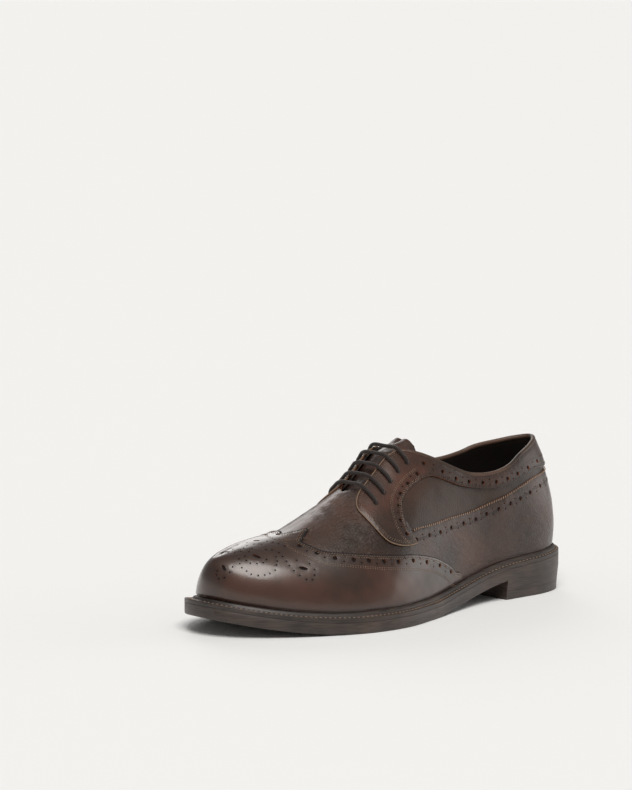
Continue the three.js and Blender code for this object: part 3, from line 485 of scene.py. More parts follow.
def smooth_curve(xs, ys, first=0.0, last=0.0):
    """A smooth curve through the points, with three-point slopes."""
    xs, ys = np.asarray(xs, float), np.asarray(ys, float)
    gaps = np.diff(xs)
    rises = np.diff(ys) / gaps
    slopes = np.empty_like(xs)
    slopes[0], slopes[-1] = first, last
    slopes[1:-1] = (rises[:-1] * gaps[1:] + rises[1:] * gaps[:-1]) / (gaps[:-1] + gaps[1:])

    def curve(value):
        x = np.clip(np.asarray(value, float), xs[0], xs[-1])
        k = np.clip(np.searchsorted(xs, x, side="right") - 1, 0, len(xs) - 2)
        h = xs[k + 1] - xs[k]
        t = (x - xs[k]) / h
        start = (2 * t ** 3 - 3 * t ** 2 + 1) * ys[k] + (t ** 3 - 2 * t ** 2 + t) * h * slopes[k]
        return start + (3 * t ** 2 - 2 * t ** 3) * ys[k + 1] + (t ** 3 - t ** 2) * h * slopes[k + 1]

    return curve


def line_curve(rows):
    """A drawn line's step down, over the turn angle."""
    table = columns(("along", "down"), rows)
    return smooth_curve(turn_at(table["along"]), table["down"])


def the_last():
    return Last(bpy.context.scene.brogue_sizes)


def drawn_line(last, rows, side, spacing=0.6):
    """Even points of a drawn line, as (turn, down) rows, with down signed by the side."""
    turns = turn_at(np.array([row[0] for row in rows], float))
    downs = np.array([row[1] for row in rows], float)
    knots = np.stack([turns * TURN_SCALE, downs * DOWN_SCALE], -1)
    ahead = np.vstack([knots[:1] * 2 - knots[1:2], knots, knots[-1:] * 2 - knots[-2:-1]])
    fine = []
    for k in range(len(knots) - 1):
        p0, p1, p2, p3 = ahead[k:k + 4]
        t = np.linspace(0, 1, 12, endpoint=False)[:, None]
        fine.append(0.5 * (2 * p1 + (p2 - p0) * t + (2 * p0 - 5 * p1 + 4 * p2 - p3) * t ** 2
                           + (3 * p1 - p0 - 3 * p2 + p3) * t ** 3))
    fine = np.vstack(fine + [knots[-1:]])
    line = np.stack([fine[:, 0] / TURN_SCALE, side * fine[:, 1] / DOWN_SCALE], -1)
    return even_line(last, line, spacing)


def line_lengths(last, line):
    return lengths_along(last.point(line[:, 0], line[:, 1]))


def even_line(last, line, spacing):
    lengths = line_lengths(last, line)
    count = max(2, int(round(lengths[-1] / spacing)) + 1)
    at = np.linspace(0, lengths[-1], count)
    return np.stack([np.interp(at, lengths, line[:, 0]), np.interp(at, lengths, line[:, 1])], -1)


def tangents(last, line):
    """Unit direction, side direction to the left and normal of a drawn line, on the surface."""
    points = last.point(line[:, 0], line[:, 1])
    normal = last.normal(line[:, 0], line[:, 1])
    ahead = unit(np.gradient(points, axis=0))
    return ahead, unit(np.cross(normal, ahead)), normal


def surface_steps(last, turn, down, vectors):
    """Turn and down steps that move a point of the surface by the given vectors."""
    along, rib = last.slopes(turn, down)
    aa, ar, rr = (np.sum(p * q, -1) for p, q in ((along, along), (along, rib), (rib, rib)))
    va, vr = np.sum(vectors * along, -1), np.sum(vectors * rib, -1)
    det = aa * rr - ar * ar + 1e-9
    return np.stack([(va * rr - vr * ar) / det, (vr * aa - va * ar) / det], -1)


def beside(last, line, distance):
    """A line moved sideways over the surface. distance is positive to the left of its direction."""
    _, left, _ = tangents(last, line)
    amount = np.broadcast_to(np.asarray(distance, float), (len(line),))
    return line + surface_steps(last, line[:, 0], line[:, 1], left * amount[:, None])


def gimped(last, line, pitch, depth):
    """A line cut into small teeth, as pinking does."""
    lengths = line_lengths(last, line)
    phase = np.mod(lengths / pitch, 1.0)
    wave = np.abs(phase * 2 - 1) * 2 - 1
    wave[0] = wave[-1] = 0
    return beside(last, line, wave * depth / 2)


def places_on(last, line, pitch, start=0.0, stop=0.0):
    """Evenly spaced places on a line, leaving a margin at each end, with the line's direction."""
    lengths = line_lengths(last, line)
    room = lengths[-1] - start - stop
    count = max(1, int(room // pitch) + 1)
    at = start + (room - (count - 1) * pitch) / 2 + np.arange(count) * pitch
    ahead, left, _ = tangents(last, line)
    spots = np.stack([np.interp(at, lengths, line[:, 0]), np.interp(at, lengths, line[:, 1])], -1)
    ahead = unit(np.stack([np.interp(at, lengths, ahead[:, k]) for k in range(3)], -1))
    left = unit(np.stack([np.interp(at, lengths, left[:, k]) for k in range(3)], -1))
    return spots, ahead, left


def hole_ring(last, spot, ahead, left, radius, stretch=1.0, sides=12):
    angle = np.linspace(0, 2 * math.pi, sides, endpoint=False)
    vectors = (np.cos(angle)[:, None] * ahead * radius * stretch + np.sin(angle)[:, None] * left * radius)
    turn, down = np.full(sides, spot[0]), np.full(sides, spot[1])
    return np.stack([turn, down], -1) + surface_steps(last, turn, down, vectors)


def inside(polygon, points):
    """Which points lie inside a closed polygon."""
    x, y = points[:, 0], points[:, 1]
    result = np.zeros(len(points), bool)
    ax, ay = polygon[:, 0], polygon[:, 1]
    bx, by = np.roll(ax, -1), np.roll(ay, -1)
    for k in range(len(polygon)):
        if ay[k] == by[k]:
            continue
        crosses = (ay[k] > y) != (by[k] > y)
        result ^= crosses & (x < (bx[k] - ax[k]) * (y - ay[k]) / (by[k] - ay[k]) + ax[k])
    return result


def nearest_gap(last, points, rim):
    """Distance over the surface, roughly, from each (turn, down) point to the nearest of the rim's."""
    places = last.point(points[:, 0], points[:, 1])
    edge = last.point(rim[:, 0], rim[:, 1])
    gaps = np.full(len(points), 1e9)
    for start in range(0, len(edge), 64):
        block = edge[start:start + 64]
        distance = np.linalg.norm(places[:, None, :] - block[None, :, :], axis=-1).min(1)
        gaps = np.minimum(gaps, distance)
    return gaps


def triangulate(last, outline, holes, spacing):
    """Triangles over a region of (turn, down), with punched holes, as points and index rows."""
    low, high = outline.min(0), outline.max(0)
    step = spacing / SURFACE_SCALE
    grid_t, grid_d = np.meshgrid(np.arange(low[0], high[0], step[0]), np.arange(low[1], high[1], step[1]),
                                 indexing="ij")
    grid_d = grid_d + (np.arange(grid_d.shape[0]) % 2)[:, None] * step[1] / 2
    lattice = np.stack([grid_t.ravel(), grid_d.ravel()], -1)
    lattice = lattice[inside(outline, lattice)]
    rims = [outline, *holes]
    rim = np.vstack(rims)
    gaps = nearest_gap(last, lattice, rim)
    lattice = lattice[gaps > 0.75 * min(spacing, 1.4)]
    for ring in holes:
        centre, reach = ring.mean(0), np.abs(ring - ring.mean(0)).max(0) * 1.05
        far = (np.abs(lattice - centre) > reach).any(1)
        lattice = lattice[far]
    points = np.vstack([rim, lattice])
    edges = []
    start = 0
    for ring in rims:
        count = len(ring)
        edges += [(start + k, start + (k + 1) % count) for k in range(count)]
        start += count
    verts = [Vector(p) for p in points * SURFACE_SCALE]
    made, _, faces, _, _, _ = delaunay_2d_cdt(verts, edges, [], 0, 1e-4, False)
    flat = np.array([[v.x, v.y] for v in made]) / SURFACE_SCALE
    triangles = np.array([face for face in faces if len(face) == 3], int)
    centres = flat[triangles].mean(1)
    keep = inside(outline, centres)
    for ring in holes:
        keep &= ~inside(ring, centres)
    return flat, triangles[keep]


def weld(points, *others, triangles):
    """Joins points that lie together, and drops triangles that fall flat."""
    keys = np.round(points / 0.01).astype(int)
    _, first, back = np.unique(keys, axis=0, return_index=True, return_inverse=True)
    triangles = back.reshape(-1)[triangles]
    a, b, c = triangles.T
    triangles = triangles[(a != b) & (b != c) & (a != c)]
    return [points[first], *(other[first] for other in others)], triangles


def close_skin(outer, inner, triangles):
    """Backs a skin with its inner points and closes the rim. Also tells skin, back and cut edge apart."""
    count = len(outer)
    directed = np.vstack([triangles[:, [0, 1]], triangles[:, [1, 2]], triangles[:, [2, 0]]])
    code = directed[:, 0] * count + directed[:, 1]
    back = directed[:, 1] * count + directed[:, 0]
    rim = directed[~np.isin(code, back)]
    walls = np.vstack([
        np.stack([rim[:, 1], rim[:, 0], rim[:, 0] + count], -1),
        np.stack([rim[:, 1], rim[:, 0] + count, rim[:, 1] + count], -1),
    ])
    faces = np.vstack([triangles, triangles[:, ::-1] + count, walls])
    kinds = np.repeat([SKIN, BACK, CUT], [len(triangles), len(triangles), len(walls)])
    return np.vstack([outer, inner]), faces, kinds


def make_object(name, points, faces, materials, replaced=(), kinds=None, tint=None, sharp=50):
    """A mesh object in metres that rides on the shoe. points are already in the part's frame."""
    mesh = bpy.data.meshes.new(name)
    faces = np.asarray(faces, int)
    mesh.vertices.add(len(points))
    mesh.vertices.foreach_set("co", np.asarray(points, np.float32).ravel())
    mesh.loops.add(faces.size)
    mesh.loops.foreach_set("vertex_index", faces.astype(np.int32).ravel())
    mesh.polygons.add(len(faces))
    width = faces.shape[1]
    mesh.polygons.foreach_set("loop_start", np.arange(0, faces.size, width, dtype=np.int32))
    for material in materials:
        mesh.materials.append(material)
    if kinds is not None:
        mesh.polygons.foreach_set("material_index", np.asarray(kinds, np.int32))
    mesh.update(calc_edges=True)
    mesh.validate()
    mesh.polygons.foreach_set("use_smooth", [True] * len(mesh.polygons))
    mesh.set_sharp_from_angle(angle=math.radians(sharp))
    if tint is not None:
        layer = mesh.color_attributes.new("tint", "FLOAT_COLOR", "POINT")
        layer.data.foreach_set("color", np.asarray(tint, np.float32).ravel())
    piece = bpy.data.objects.new(name, mesh)
    bpy.context.scene.collection.objects.link(piece)
    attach(piece, "root")
    if replaced:
        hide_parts(*replaced)
    return piece


def leather_tint(last, flat, rim, extra=None):
    """Red: nearness to a cut edge. Green: nearness to the welt, for painted shade. Blue: slow change of tone.
    """
    edge_fade, welt_shade_fade = 1.6, 7.0
    gaps = nearest_gap(last, flat, rim)
    points = last.point(flat[:, 0], flat[:, 1])
    foot = last.welt_top(points[:, 0])
    edge = np.exp(-np.maximum(gaps, 0) / edge_fade)
    # painted shade that darkens the leather near the welt
    low = np.exp(-np.maximum(points[:, 2] - foot, 0) / welt_shade_fade)
    slow = 0.5 + 0.5 * np.sin(points[:, 0] * 0.045 + points[:, 1] * 0.06 + 1.3 * np.sin(points[:, 2] * 0.07))
    if extra is not None:
        slow = np.clip(slow * 0.5 + extra, 0, 1)
    return np.stack([edge, low, slow, np.ones(len(flat))], -1)


def leather_wave(last, turn, down):
    """The slight unevenness of lasted leather, in millimetres."""
    p = last.point(turn, down)
    s, a, z = p[..., 0], p[..., 1], p[..., 2]
    wave = np.sin(s * 0.21 + 2.2 * np.sin(a * 0.09)) * np.sin(a * 0.17 + z * 0.13)
    return 0.07 * wave + 0.05 * np.sin(s * 0.47 + a * 0.31) * np.sin(z * 0.37 + 1.1)


def crease_depth(last, turn, down):
    """Soft troughs across the vamp behind the toe, with a low ridge beside each."""
    along = along_at(turn)
    total = np.zeros(np.broadcast(turn, down).shape)
    for crease in CREASES:
        line = crease["along"] + crease["sway"] * down ** 2 - 0.006 * np.sin(down * 9 + crease["along"] * 40)
        off = (along - line) * last.length / crease["width"]
        fade = np.exp(-(down / crease["reach"]) ** 4)
        total = total - crease["depth"] * fade * (np.exp(-off ** 2) - 0.5 * np.exp(-(np.abs(off) - 1.8) ** 2))
    return total


def free_edge(outline, joined_at=None):
    """The outline without its points at the middle of toe and heel, or where the next panel joins."""
    turn = outline[:, 0]
    shut = (turn < 0.01) | (turn > math.pi - 0.01)
    if joined_at is not None:
        shut |= np.abs(turn - joined_at) < 1e-4
    return outline[~shut]


def panel_skin(last, outline, holes, level, thickness, spacing, warmth=None, shapes=(leather_wave,),
               round_edge=0.35, hole_round=0.05, joined_at=None):
    """Outer and inner points, tint and triangles of a panel. level gives the height of its back."""
    flat, triangles = triangulate(last, outline, holes, spacing)
    turn, down = np.clip(flat[:, 0], 0, math.pi), flat[:, 1]
    base = level(turn, down)
    out = base + thickness
    for shape in shapes:
        out = out + shape(last, turn, down)
    free = free_edge(outline, joined_at)
    out = out - round_edge * np.clip(1 - nearest_gap(last, flat, free) / EDGE_REACH, 0, 1) ** 2
    if hole_round:
        rim = nearest_gap(last, flat, np.vstack(holes))
        out = out - hole_round * np.clip(1 - rim / HOLE_REACH, 0, 1) ** 2
    tint = leather_tint(last, flat, np.vstack([free, *holes]), warmth and warmth(flat))
    return last.offset(turn, down, out), last.offset(turn, down, base), tint, triangles


def leather_piece(name, last, skins, materials, replaced):
    """One leather piece from the skins of its parts, welded where they meet."""
    outer, inner, tint = (np.vstack([skin[k] for skin in skins]) for k in range(3))
    starts = np.cumsum([0] + [len(skin[0]) for skin in skins[:-1]])
    triangles = np.vstack([skin[3] + start for skin, start in zip(skins, starts)])
    (outer, inner, tint), triangles = weld(outer, inner, tint, triangles=triangles)
    return closed_piece(name, last, outer, inner, tint, triangles, materials, replaced)


def closed_piece(name, last, outer, inner, tint, triangles, materials, replaced):
    points, faces, kinds = close_skin(outer, inner, triangles)
    return make_object(name, last.world(points), faces, materials, replaced, kinds,
                       np.vstack([tint, tint]))


def cut_panel(leather):
    """Materials of a panel whose cut edges and holes show bare leather."""
    return [brown(leather), brown(leather), cut_leather()]


def grid_quads(rows, width):
    """Squares over a grid of points, as rows of four indices."""
    i, j = np.meshgrid(np.arange(rows - 1), np.arange(width - 1), indexing="ij")
    first = i * width + j
    return np.stack([first, first + width, first + width + 1, first + 1], -1).reshape(-1, 4)


def halved(quads):
    quads = np.asarray(quads)
    return np.vstack([quads[:, [0, 1, 2]], quads[:, [0, 2, 3]]])


# Shared effects of the materials
def add_node(nodes, kind, values=(), **settings):
    """A new node, with its settings and then the values of its own sockets."""
    node = nodes.new(kind)
    for name, value in settings.items():
        setattr(node, name, value)
    for socket, value in dict(values).items():
        node.inputs[socket].default_value = value
    return node


def new_group(name, inputs, outputs):
    group = bpy.data.node_groups.get(name)
    if group:
        return group, None, None
    group = bpy.data.node_groups.new(name, "ShaderNodeTree")
    for label, kind, value in inputs:
        socket = group.interface.new_socket(name=label, in_out="INPUT", socket_type=kind)
        socket.default_value = value
    for label, kind in outputs:
        group.interface.new_socket(name=label, in_out="OUTPUT", socket_type=kind)
    return group, group.nodes.new("NodeGroupInput"), group.nodes.new("NodeGroupOutput")


def grain_group():
    """Calf grain: small cells broken by fine noise, and a slow mottle given out beside it."""
    group, given, result = new_group(
        "Calf grain",
        (("Scale", "NodeSocketFloat", 900.0), ("Depth", "NodeSocketFloat", 1.0)),
        (("Height", "NodeSocketFloat"), ("Mottle", "NodeSocketFloat")))
    if given is None:
        return group
    nodes, links = group.nodes, group.links
    warp_reach, cell_share = 0.0009, 0.6
    place = add_node(nodes, "ShaderNodeTexCoord")
    cells = add_node(nodes, "ShaderNodeTexVoronoi", feature="F1")
    fine = add_node(nodes, "ShaderNodeTexNoise", {"Detail": 4})
    slow = add_node(nodes, "ShaderNodeTexNoise", {"Scale": 28, "Detail": 5})
    warp = add_node(nodes, "ShaderNodeVectorMath", {1: (warp_reach,) * 3}, operation="MULTIPLY_ADD")
    mix = add_node(nodes, "ShaderNodeMath", {1: cell_share}, operation="MULTIPLY_ADD")
    strength = add_node(nodes, "ShaderNodeMath", operation="MULTIPLY")
    links.new(place.outputs["Object"], fine.inputs["Vector"])
    links.new(given.outputs["Scale"], fine.inputs["Scale"])
    links.new(fine.outputs["Color"], warp.inputs[0])
    links.new(place.outputs["Object"], warp.inputs[2])
    links.new(warp.outputs["Vector"], cells.inputs["Vector"])
    links.new(given.outputs["Scale"], cells.inputs["Scale"])
    links.new(place.outputs["Object"], slow.inputs["Vector"])
    links.new(cells.outputs["Distance"], mix.inputs[0])
    links.new(fine.outputs["Fac"], mix.inputs[2])
    links.new(mix.outputs[0], strength.inputs[0])
    links.new(given.outputs["Depth"], strength.inputs[1])
    links.new(strength.outputs[0], result.inputs["Height"])
    links.new(slow.outputs["Fac"], result.inputs["Mottle"])
    return group


def pulled_lines_group():
    """Fine lines where the vamp is pulled towards the throat, dying out towards the toe."""
    group, given, result = new_group(
        "Pulled lines",
        (("Strength", "NodeSocketFloat", 1.0),),
        (("Height", "NodeSocketFloat"),))
    if given is None:
        return group
    nodes, links = group.nodes, group.links
    slant = (0, 0, math.radians(40))
    fineness = (850, 85, 380)
    place = add_node(nodes, "ShaderNodeTexCoord")
    turned = add_node(nodes, "ShaderNodeMapping", {"Rotation": slant, "Scale": fineness})
    lines = add_node(nodes, "ShaderNodeTexNoise", {"Scale": 1.0, "Detail": 3, "Distortion": 0.4})
    axes = add_node(nodes, "ShaderNodeSeparateXYZ")
    near = add_node(nodes, "ShaderNodeMapRange", {"From Min": -0.085, "From Max": -0.05})
    amount = add_node(nodes, "ShaderNodeMath", operation="MULTIPLY")
    height = add_node(nodes, "ShaderNodeMath", operation="MULTIPLY")
    links.new(place.outputs["Object"], turned.inputs["Vector"])
    links.new(turned.outputs["Vector"], lines.inputs["Vector"])
    links.new(place.outputs["Object"], axes.inputs["Vector"])
    links.new(axes.outputs["Y"], near.inputs["Value"])
    links.new(near.outputs["Result"], amount.inputs[0])
    links.new(given.outputs["Strength"], amount.inputs[1])
    links.new(amount.outputs[0], height.inputs[0])
    links.new(lines.outputs["Fac"], height.inputs[1])
    links.new(height.outputs[0], result.inputs["Height"])
    return group


def burnish_shade_group():
    """Colour of burnished leather: base, dark at cut edges, painted shade low down, red where it is rubbed.
    """
    group, given, result = new_group(
        "Burnish",
        (("Base", "NodeSocketColor", (0.1, 0.05, 0.03, 1)),
         ("Dark", "NodeSocketColor", (0.02, 0.01, 0.01, 1)),
         ("Warm", "NodeSocketColor", (0.2, 0.06, 0.03, 1)), ("Mottle", "NodeSocketFloat", 0.5),
         ("Edge", "NodeSocketFloat", 0.6), ("Warmth", "NodeSocketFloat", 0.5)),
        (("Color", "NodeSocketColor"), ("Wear", "NodeSocketFloat")))
    if given is None:
        return group
    nodes, links = group.nodes, group.links
    rubbed_above, rubbed_gain = 0.36, 3.6
    dark_below, dark_gain = 0.6, 3.2
    welt_shade_share = 0.75

    def math_node(operation, first, second):
        node = add_node(nodes, "ShaderNodeMath", operation=operation, use_clamp=True)
        for socket, value in zip(node.inputs, (first, second)):
            if isinstance(value, float):
                socket.default_value = value
            else:
                links.new(value, socket)
        return node.outputs[0]

    def mix_node(factor, first, second):
        node = add_node(nodes, "ShaderNodeMix", data_type="RGBA")
        links.new(factor, node.inputs["Factor"])
        links.new(first, node.inputs[6])
        links.new(second, node.inputs[7])
        return node.outputs[2]

    tint = add_node(nodes, "ShaderNodeAttribute", attribute_name="tint")
    parts = add_node(nodes, "ShaderNodeSeparateColor")
    links.new(tint.outputs["Color"], parts.inputs["Color"])
    mottle = given.outputs["Mottle"]
    spread = math_node("MULTIPLY", math_node("SUBTRACT", mottle, rubbed_above), rubbed_gain)
    rubbed = math_node("MULTIPLY", parts.outputs["Blue"], spread)
    warm = math_node("MULTIPLY", rubbed, given.outputs["Warmth"])
    color = mix_node(warm, given.outputs["Base"], given.outputs["Warm"])
    edge = math_node("MULTIPLY", parts.outputs["Red"], given.outputs["Edge"])
    # painted shade low down, near the welt
    low = math_node("MULTIPLY", parts.outputs["Green"], welt_shade_share)
    patch = math_node("MULTIPLY", math_node("SUBTRACT", dark_below, mottle), dark_gain)
    darkening = math_node("MAXIMUM", math_node("MAXIMUM", edge, low), patch)
    links.new(mix_node(darkening, color, given.outputs["Dark"]), result.inputs["Color"])
    links.new(darkening, result.inputs["Wear"])
    return group


def once(make):
    """Has a material made when it is first asked for, and gives the same one after that."""
    def get(name, *values, **settings):
        return bpy.data.materials.get(name) or make(name, *values, **settings)

    return get


def toned(color, amount):
    """A colour made lighter or darker."""
    return tuple(min(1, channel * amount) for channel in color)


def start_material(name, roughness, coat=0.0, specular=0.5, sheen=0.0):
    material = bpy.data.materials.new(name)
    material.use_nodes = True
    nodes = material.node_tree.nodes
    shader = nodes["Principled BSDF"]
    shader.inputs["Roughness"].default_value = roughness
    shader.inputs["Coat Weight"].default_value = coat
    shader.inputs["Coat Roughness"].default_value = COAT_ROUGHNESS
    shader.inputs["Specular IOR Level"].default_value = specular
    shader.inputs["Sheen Weight"].default_value = sheen
    return material, nodes, material.node_tree.links, shader


def add_relief(nodes, links, shader, height, strength, depth):
    """Relief in a material from a height, with its depth in metres."""
    relief = add_node(nodes, "ShaderNodeBump", {"Strength": strength, "Distance": depth})
    links.new(height, relief.inputs["Height"])
    links.new(relief.outputs["Normal"], shader.inputs["Normal"])


def add_tones(nodes, links, shader, value, low, high, starts=0.0, stops=1.0):
    """Base colour that goes from one tone to another as a value rises."""
    ramp = add_node(nodes, "ShaderNodeValToRGB")
    for element, position, color in zip(ramp.color_ramp.elements, (starts, stops), (low, high)):
        element.position = position
        element.color = (*color, 1)
    links.new(value, ramp.inputs["Fac"])
    links.new(ramp.outputs["Color"], shader.inputs["Base Color"])


def add_noise(nodes, links, scale, stretch=None, **values):
    """Noise over the object, stretched if need be."""
    place = add_node(nodes, "ShaderNodeTexCoord").outputs["Object"]
    if stretch is not None:
        mapping = add_node(nodes, "ShaderNodeMapping", {"Scale": stretch})
        links.new(place, mapping.inputs["Vector"])
        place = mapping.outputs["Vector"]
    noise = add_node(nodes, "ShaderNodeTexNoise", {"Scale": scale, **values})
    links.new(place, noise.inputs["Vector"])
    return noise.outputs["Fac"]


@once
def leather_material(name, base, dark, warm, finish):
    roughness, smoother, rougher = finish["roughness"], 0.08, 0.14
    material, nodes, links, shader = start_material(name, roughness, finish["coat"], 0.4)
    shader.inputs["Specular Tint"].default_value = POLISH_TINT
    grain = add_node(nodes, "ShaderNodeGroup", {"Scale": finish["scale"], "Depth": finish["depth"]},
                     node_tree=grain_group())
    colors = {"Base": (*base, 1), "Dark": (*dark, 1), "Warm": (*warm, 1)}
    burnish = add_node(nodes, "ShaderNodeGroup", {**colors, "Edge": finish["edge"],
                                                  "Warmth": finish["warmth"]}, node_tree=burnish_shade_group())
    rough = add_node(nodes, "ShaderNodeMapRange", {"To Min": roughness - smoother,
                                                   "To Max": roughness + rougher})
    links.new(grain.outputs["Mottle"], burnish.inputs["Mottle"])
    links.new(burnish.outputs["Color"], shader.inputs["Base Color"])
    links.new(grain.outputs["Mottle"], rough.inputs["Value"])
    links.new(rough.outputs["Result"], shader.inputs["Roughness"])
    height = grain.outputs["Height"]
    if "pulled" in finish:
        lines = add_node(nodes, "ShaderNodeGroup", {"Strength": finish["pulled"]},
                         node_tree=pulled_lines_group())
        both = add_node(nodes, "ShaderNodeMath", operation="ADD")
        links.new(height, both.inputs[0])
        links.new(lines.outputs["Height"], both.inputs[1])
        height = both.outputs[0]
    add_relief(nodes, links, shader, height, finish["bump"], 0.0005)
    return material


@once
def striated_material(name, base, light):
    """Leather edge with fine level lines, as a trimmed sole has."""
    material, nodes, links, shader = start_material(name, 0.5, 0.15)
    level = add_noise(nodes, links, 1.0, (90, 90, 2600), Detail=5)
    slow = add_noise(nodes, links, 40)
    blend = add_node(nodes, "ShaderNodeMath", operation="MULTIPLY")
    links.new(level, blend.inputs[0])
    links.new(slow, blend.inputs[1])
    add_tones(nodes, links, shader, blend.outputs[0], base, light, 0.15, 0.42)
    add_relief(nodes, links, shader, level, 0.5, 0.0003)
    return material


@once
def thread_material(name, color, scale=1800.0, roughness=0.75):
    material, nodes, links, shader = start_material(name, roughness, 0.0, 0.3, 0.2)
    noise = add_noise(nodes, links, scale)
    add_tones(nodes, links, shader, noise, toned(color, 0.55), toned(color, 1.35), 0.35, 0.65)
    add_relief(nodes, links, shader, noise, 0.6, 0.0003)
    return material


@once
def plain_material(name, color, roughness):
    """One colour with slight mottling."""
    material, nodes, links, shader = start_material(name, roughness, 0.0, 0.3)
    add_tones(nodes, links, shader, add_noise(nodes, links, 900), toned(color, 0.6), toned(color, 1.4))
    return material


def brown(role):
    """One of the upper's leathers, with its colours from the panel."""
    finish = LEATHERS[role]
    colors = bpy.context.scene.brogue_colors
    if role == "lining":
        base, dark, warm = LINING_COLORS
    else:
        base, dark, warm = (tuple(getattr(colors, name)) for name in (finish["base"], "burnish", "rubbed"))
    return leather_material(finish["name"], base, dark, warm, finish)


def cut_leather():
    """The reddish bare leather that shows in punched holes and along cut edges."""
    return plain_material("Cut leather", tuple(bpy.context.scene.brogue_colors.cut), 0.7)


# Lines and small parts that several pieces share
def wing_line(last, side):
    """Back edge of the wing cap on one side, from the spear's point to the welt."""
    wing_foot, low_rows = 0.38, 0.9
    foot = float(last.down_at_height(turn_at(wing_foot), side, last.bead + CAP_OVER_BEAD))
    rows = [(along, down * (foot if abs(down) > low_rows else 1)) for down, along in WING
            if (down - SPEAR) * side >= 0]
    return drawn_line(last, rows if side > 0 else rows[::-1], 1)


def across_toe(foot, spacing=1.2):
    """The rib at the toe's tip from the outer foot to the inner one."""
    count = int(foot * DOWN_SCALE / spacing)
    down = np.linspace(foot, -foot, 2 * count + 1)[1:-1]
    return np.stack([np.full(len(down), math.pi), down], -1)


def foot_line(last, side, start, end, height, spacing=1.2):
    """A line over the welt at a height, between two turns."""
    turns = np.linspace(start, end, max(3, int(abs(end - start) * TURN_SCALE / spacing)))
    down = last.down_at_height(turns, np.full(len(turns), float(side)), height)
    return np.stack([turns, side * down], -1)


def perforations(last, rows, side, big=BIG_HOLE):
    """A brogued row: large holes with a pair of small ones between each two."""
    line = np.stack([turn_at(np.array([row[0] for row in rows])), side * np.array([row[1] for row in rows])],
                    -1)
    ahead, left, _ = tangents(last, line)
    rings = [hole_ring(last, spot, a, b, big) for spot, a, b in zip(line, ahead, left)]
    centres = [(spot, big) for spot in line]
    for k in range(len(line) - 1):
        middle, a, b = (line[k] + line[k + 1]) / 2, ahead[k], left[k]
        for way in (-1, 1):
            spot = middle + surface_steps(last, middle[0], middle[1], b * PAIR_SPREAD * way)
            rings.append(hole_ring(last, spot, a, b, SMALL_HOLE, sides=8))
            centres.append((spot, SMALL_HOLE))
    return rings, centres


def hole_shade_discs(name, last, centres, level):
    """A dark disc in each punched hole: painted shade at the hole's bottom."""
    sides, spread = 10, 1.25
    points, faces = [], []
    angle = np.linspace(0, 2 * math.pi, sides, endpoint=False)[:, None]
    for (turn, down), radius in centres:
        ahead, left, normal = last.axes(turn, down)
        centre = last.point(turn, down) + normal * level(np.array(turn), np.array(down))
        ring = centre + (np.cos(angle) * ahead + np.sin(angle) * left) * radius * spread
        start = len(points)
        points += [centre, *ring]
        faces += [(start, start + 1 + k, start + 1 + (k + 1) % sides) for k in range(sides)]
    material = plain_material("Punched hole", HOLE_SHADE_COLOR, 0.9)
    return make_object(name, last.world(np.array(points)), faces, [material])


STITCH_FACES = np.array([(0, 1, 4), (1, 2, 4), (2, 3, 4), (3, 0, 4),
                         (1, 0, 5), (2, 1, 5), (3, 2, 5), (0, 3, 5)])


def stitch_shapes(centre, along, across, sunk, top, bottom):
    """Thread lying in its holes: a diamond at each centre with a ridge on top, as points and faces."""
    corners = (along - sunk, across, -along - sunk, -across, top, -bottom)
    points = np.stack([centre + corner for corner in corners], 1)
    base = np.arange(len(centre))[:, None, None] * len(corners)
    return points.reshape(-1, 3), (base + STITCH_FACES[None]).reshape(-1, 3)


def stitch_row(last, line, seam, surface=None, slant=0.0):
    """Separate stitches lying on a line, as points and faces. slant turns each one, in degrees."""
    spots, ahead, left = places_on(last, line, seam["pitch"], seam["start"], seam["stop"])
    tilt = math.radians(slant)
    ahead, left = (ahead * math.cos(tilt) + left * math.sin(tilt),
                   left * math.cos(tilt) - ahead * math.sin(tilt))
    turn, down = spots[:, 0], spots[:, 1]
    normal = last.normal(turn, down)
    lift = seam["lift"] + (0 * turn if surface is None else surface(turn, down))
    centre = last.point(turn, down) + normal * lift[:, None]
    width = seam["width"]
    return stitch_shapes(centre, ahead * seam["length"] / 2, left * width / 2, normal * width * 0.25,
                         normal * width * 0.4, normal * width * 0.3)


def seam_rows(last, name, line, way, surface=None, slant=0.0):
    """The rows of one seam beside a line, to its left where way is 1 and to its right where way is -1."""
    seam = SEAMS[name]
    return [stitch_row(last, beside(last, line, way * away), seam, surface, slant) for away in seam["away"]]


def joined(parts):
    points, faces, start = [], [], 0
    for p, f in parts:
        points.append(p)
        faces.append(np.asarray(f) + start)
        start += len(p)
    return np.vstack(points), np.vstack(faces)


def round_piece(name, last, parts, material):
    """A piece of threads, cords or edges, smooth all round."""
    points, faces = joined(parts)
    return make_object(name, last.world(points), faces, [material], sharp=180)


def tube(points, radius, sides):
    """A round cord along points with closed ends, as points and faces."""
    ahead = unit(np.gradient(points, axis=0))
    up = np.array([0.0, 0.0, 1.0])
    side = unit(np.cross(ahead, up) + 1e-6)
    top = unit(np.cross(side, ahead))
    angle = np.linspace(0, 2 * math.pi, sides, endpoint=False)
    radii = np.broadcast_to(np.asarray(radius, float), (len(points),))
    ring = (points[:, None] + radii[:, None, None] * (np.cos(angle)[None, :, None] * side[:, None]
            + np.sin(angle)[None, :, None] * top[:, None]))
    faces = []
    for i in range(len(points) - 1):
        for k in range(sides):
            m = (k + 1) % sides
            a, b, c, d = i * sides + k, i * sides + m, (i + 1) * sides + m, (i + 1) * sides + k
            faces += [(a, c, b), (a, d, c)]
    verts = np.vstack([ring.reshape(-1, 3), points[:1], points[-1:]])
    head, tail = len(verts) - 2, len(verts) - 1
    last_ring = (len(points) - 1) * sides
    for k in range(sides):
        m = (k + 1) % sides
        faces += [(head, k, m), (tail, last_ring + m, last_ring + k)]
    return verts, np.array(faces)


def lengths_along(points):
    return np.concatenate([[0], np.cumsum(np.linalg.norm(np.diff(points, axis=0), axis=1))])


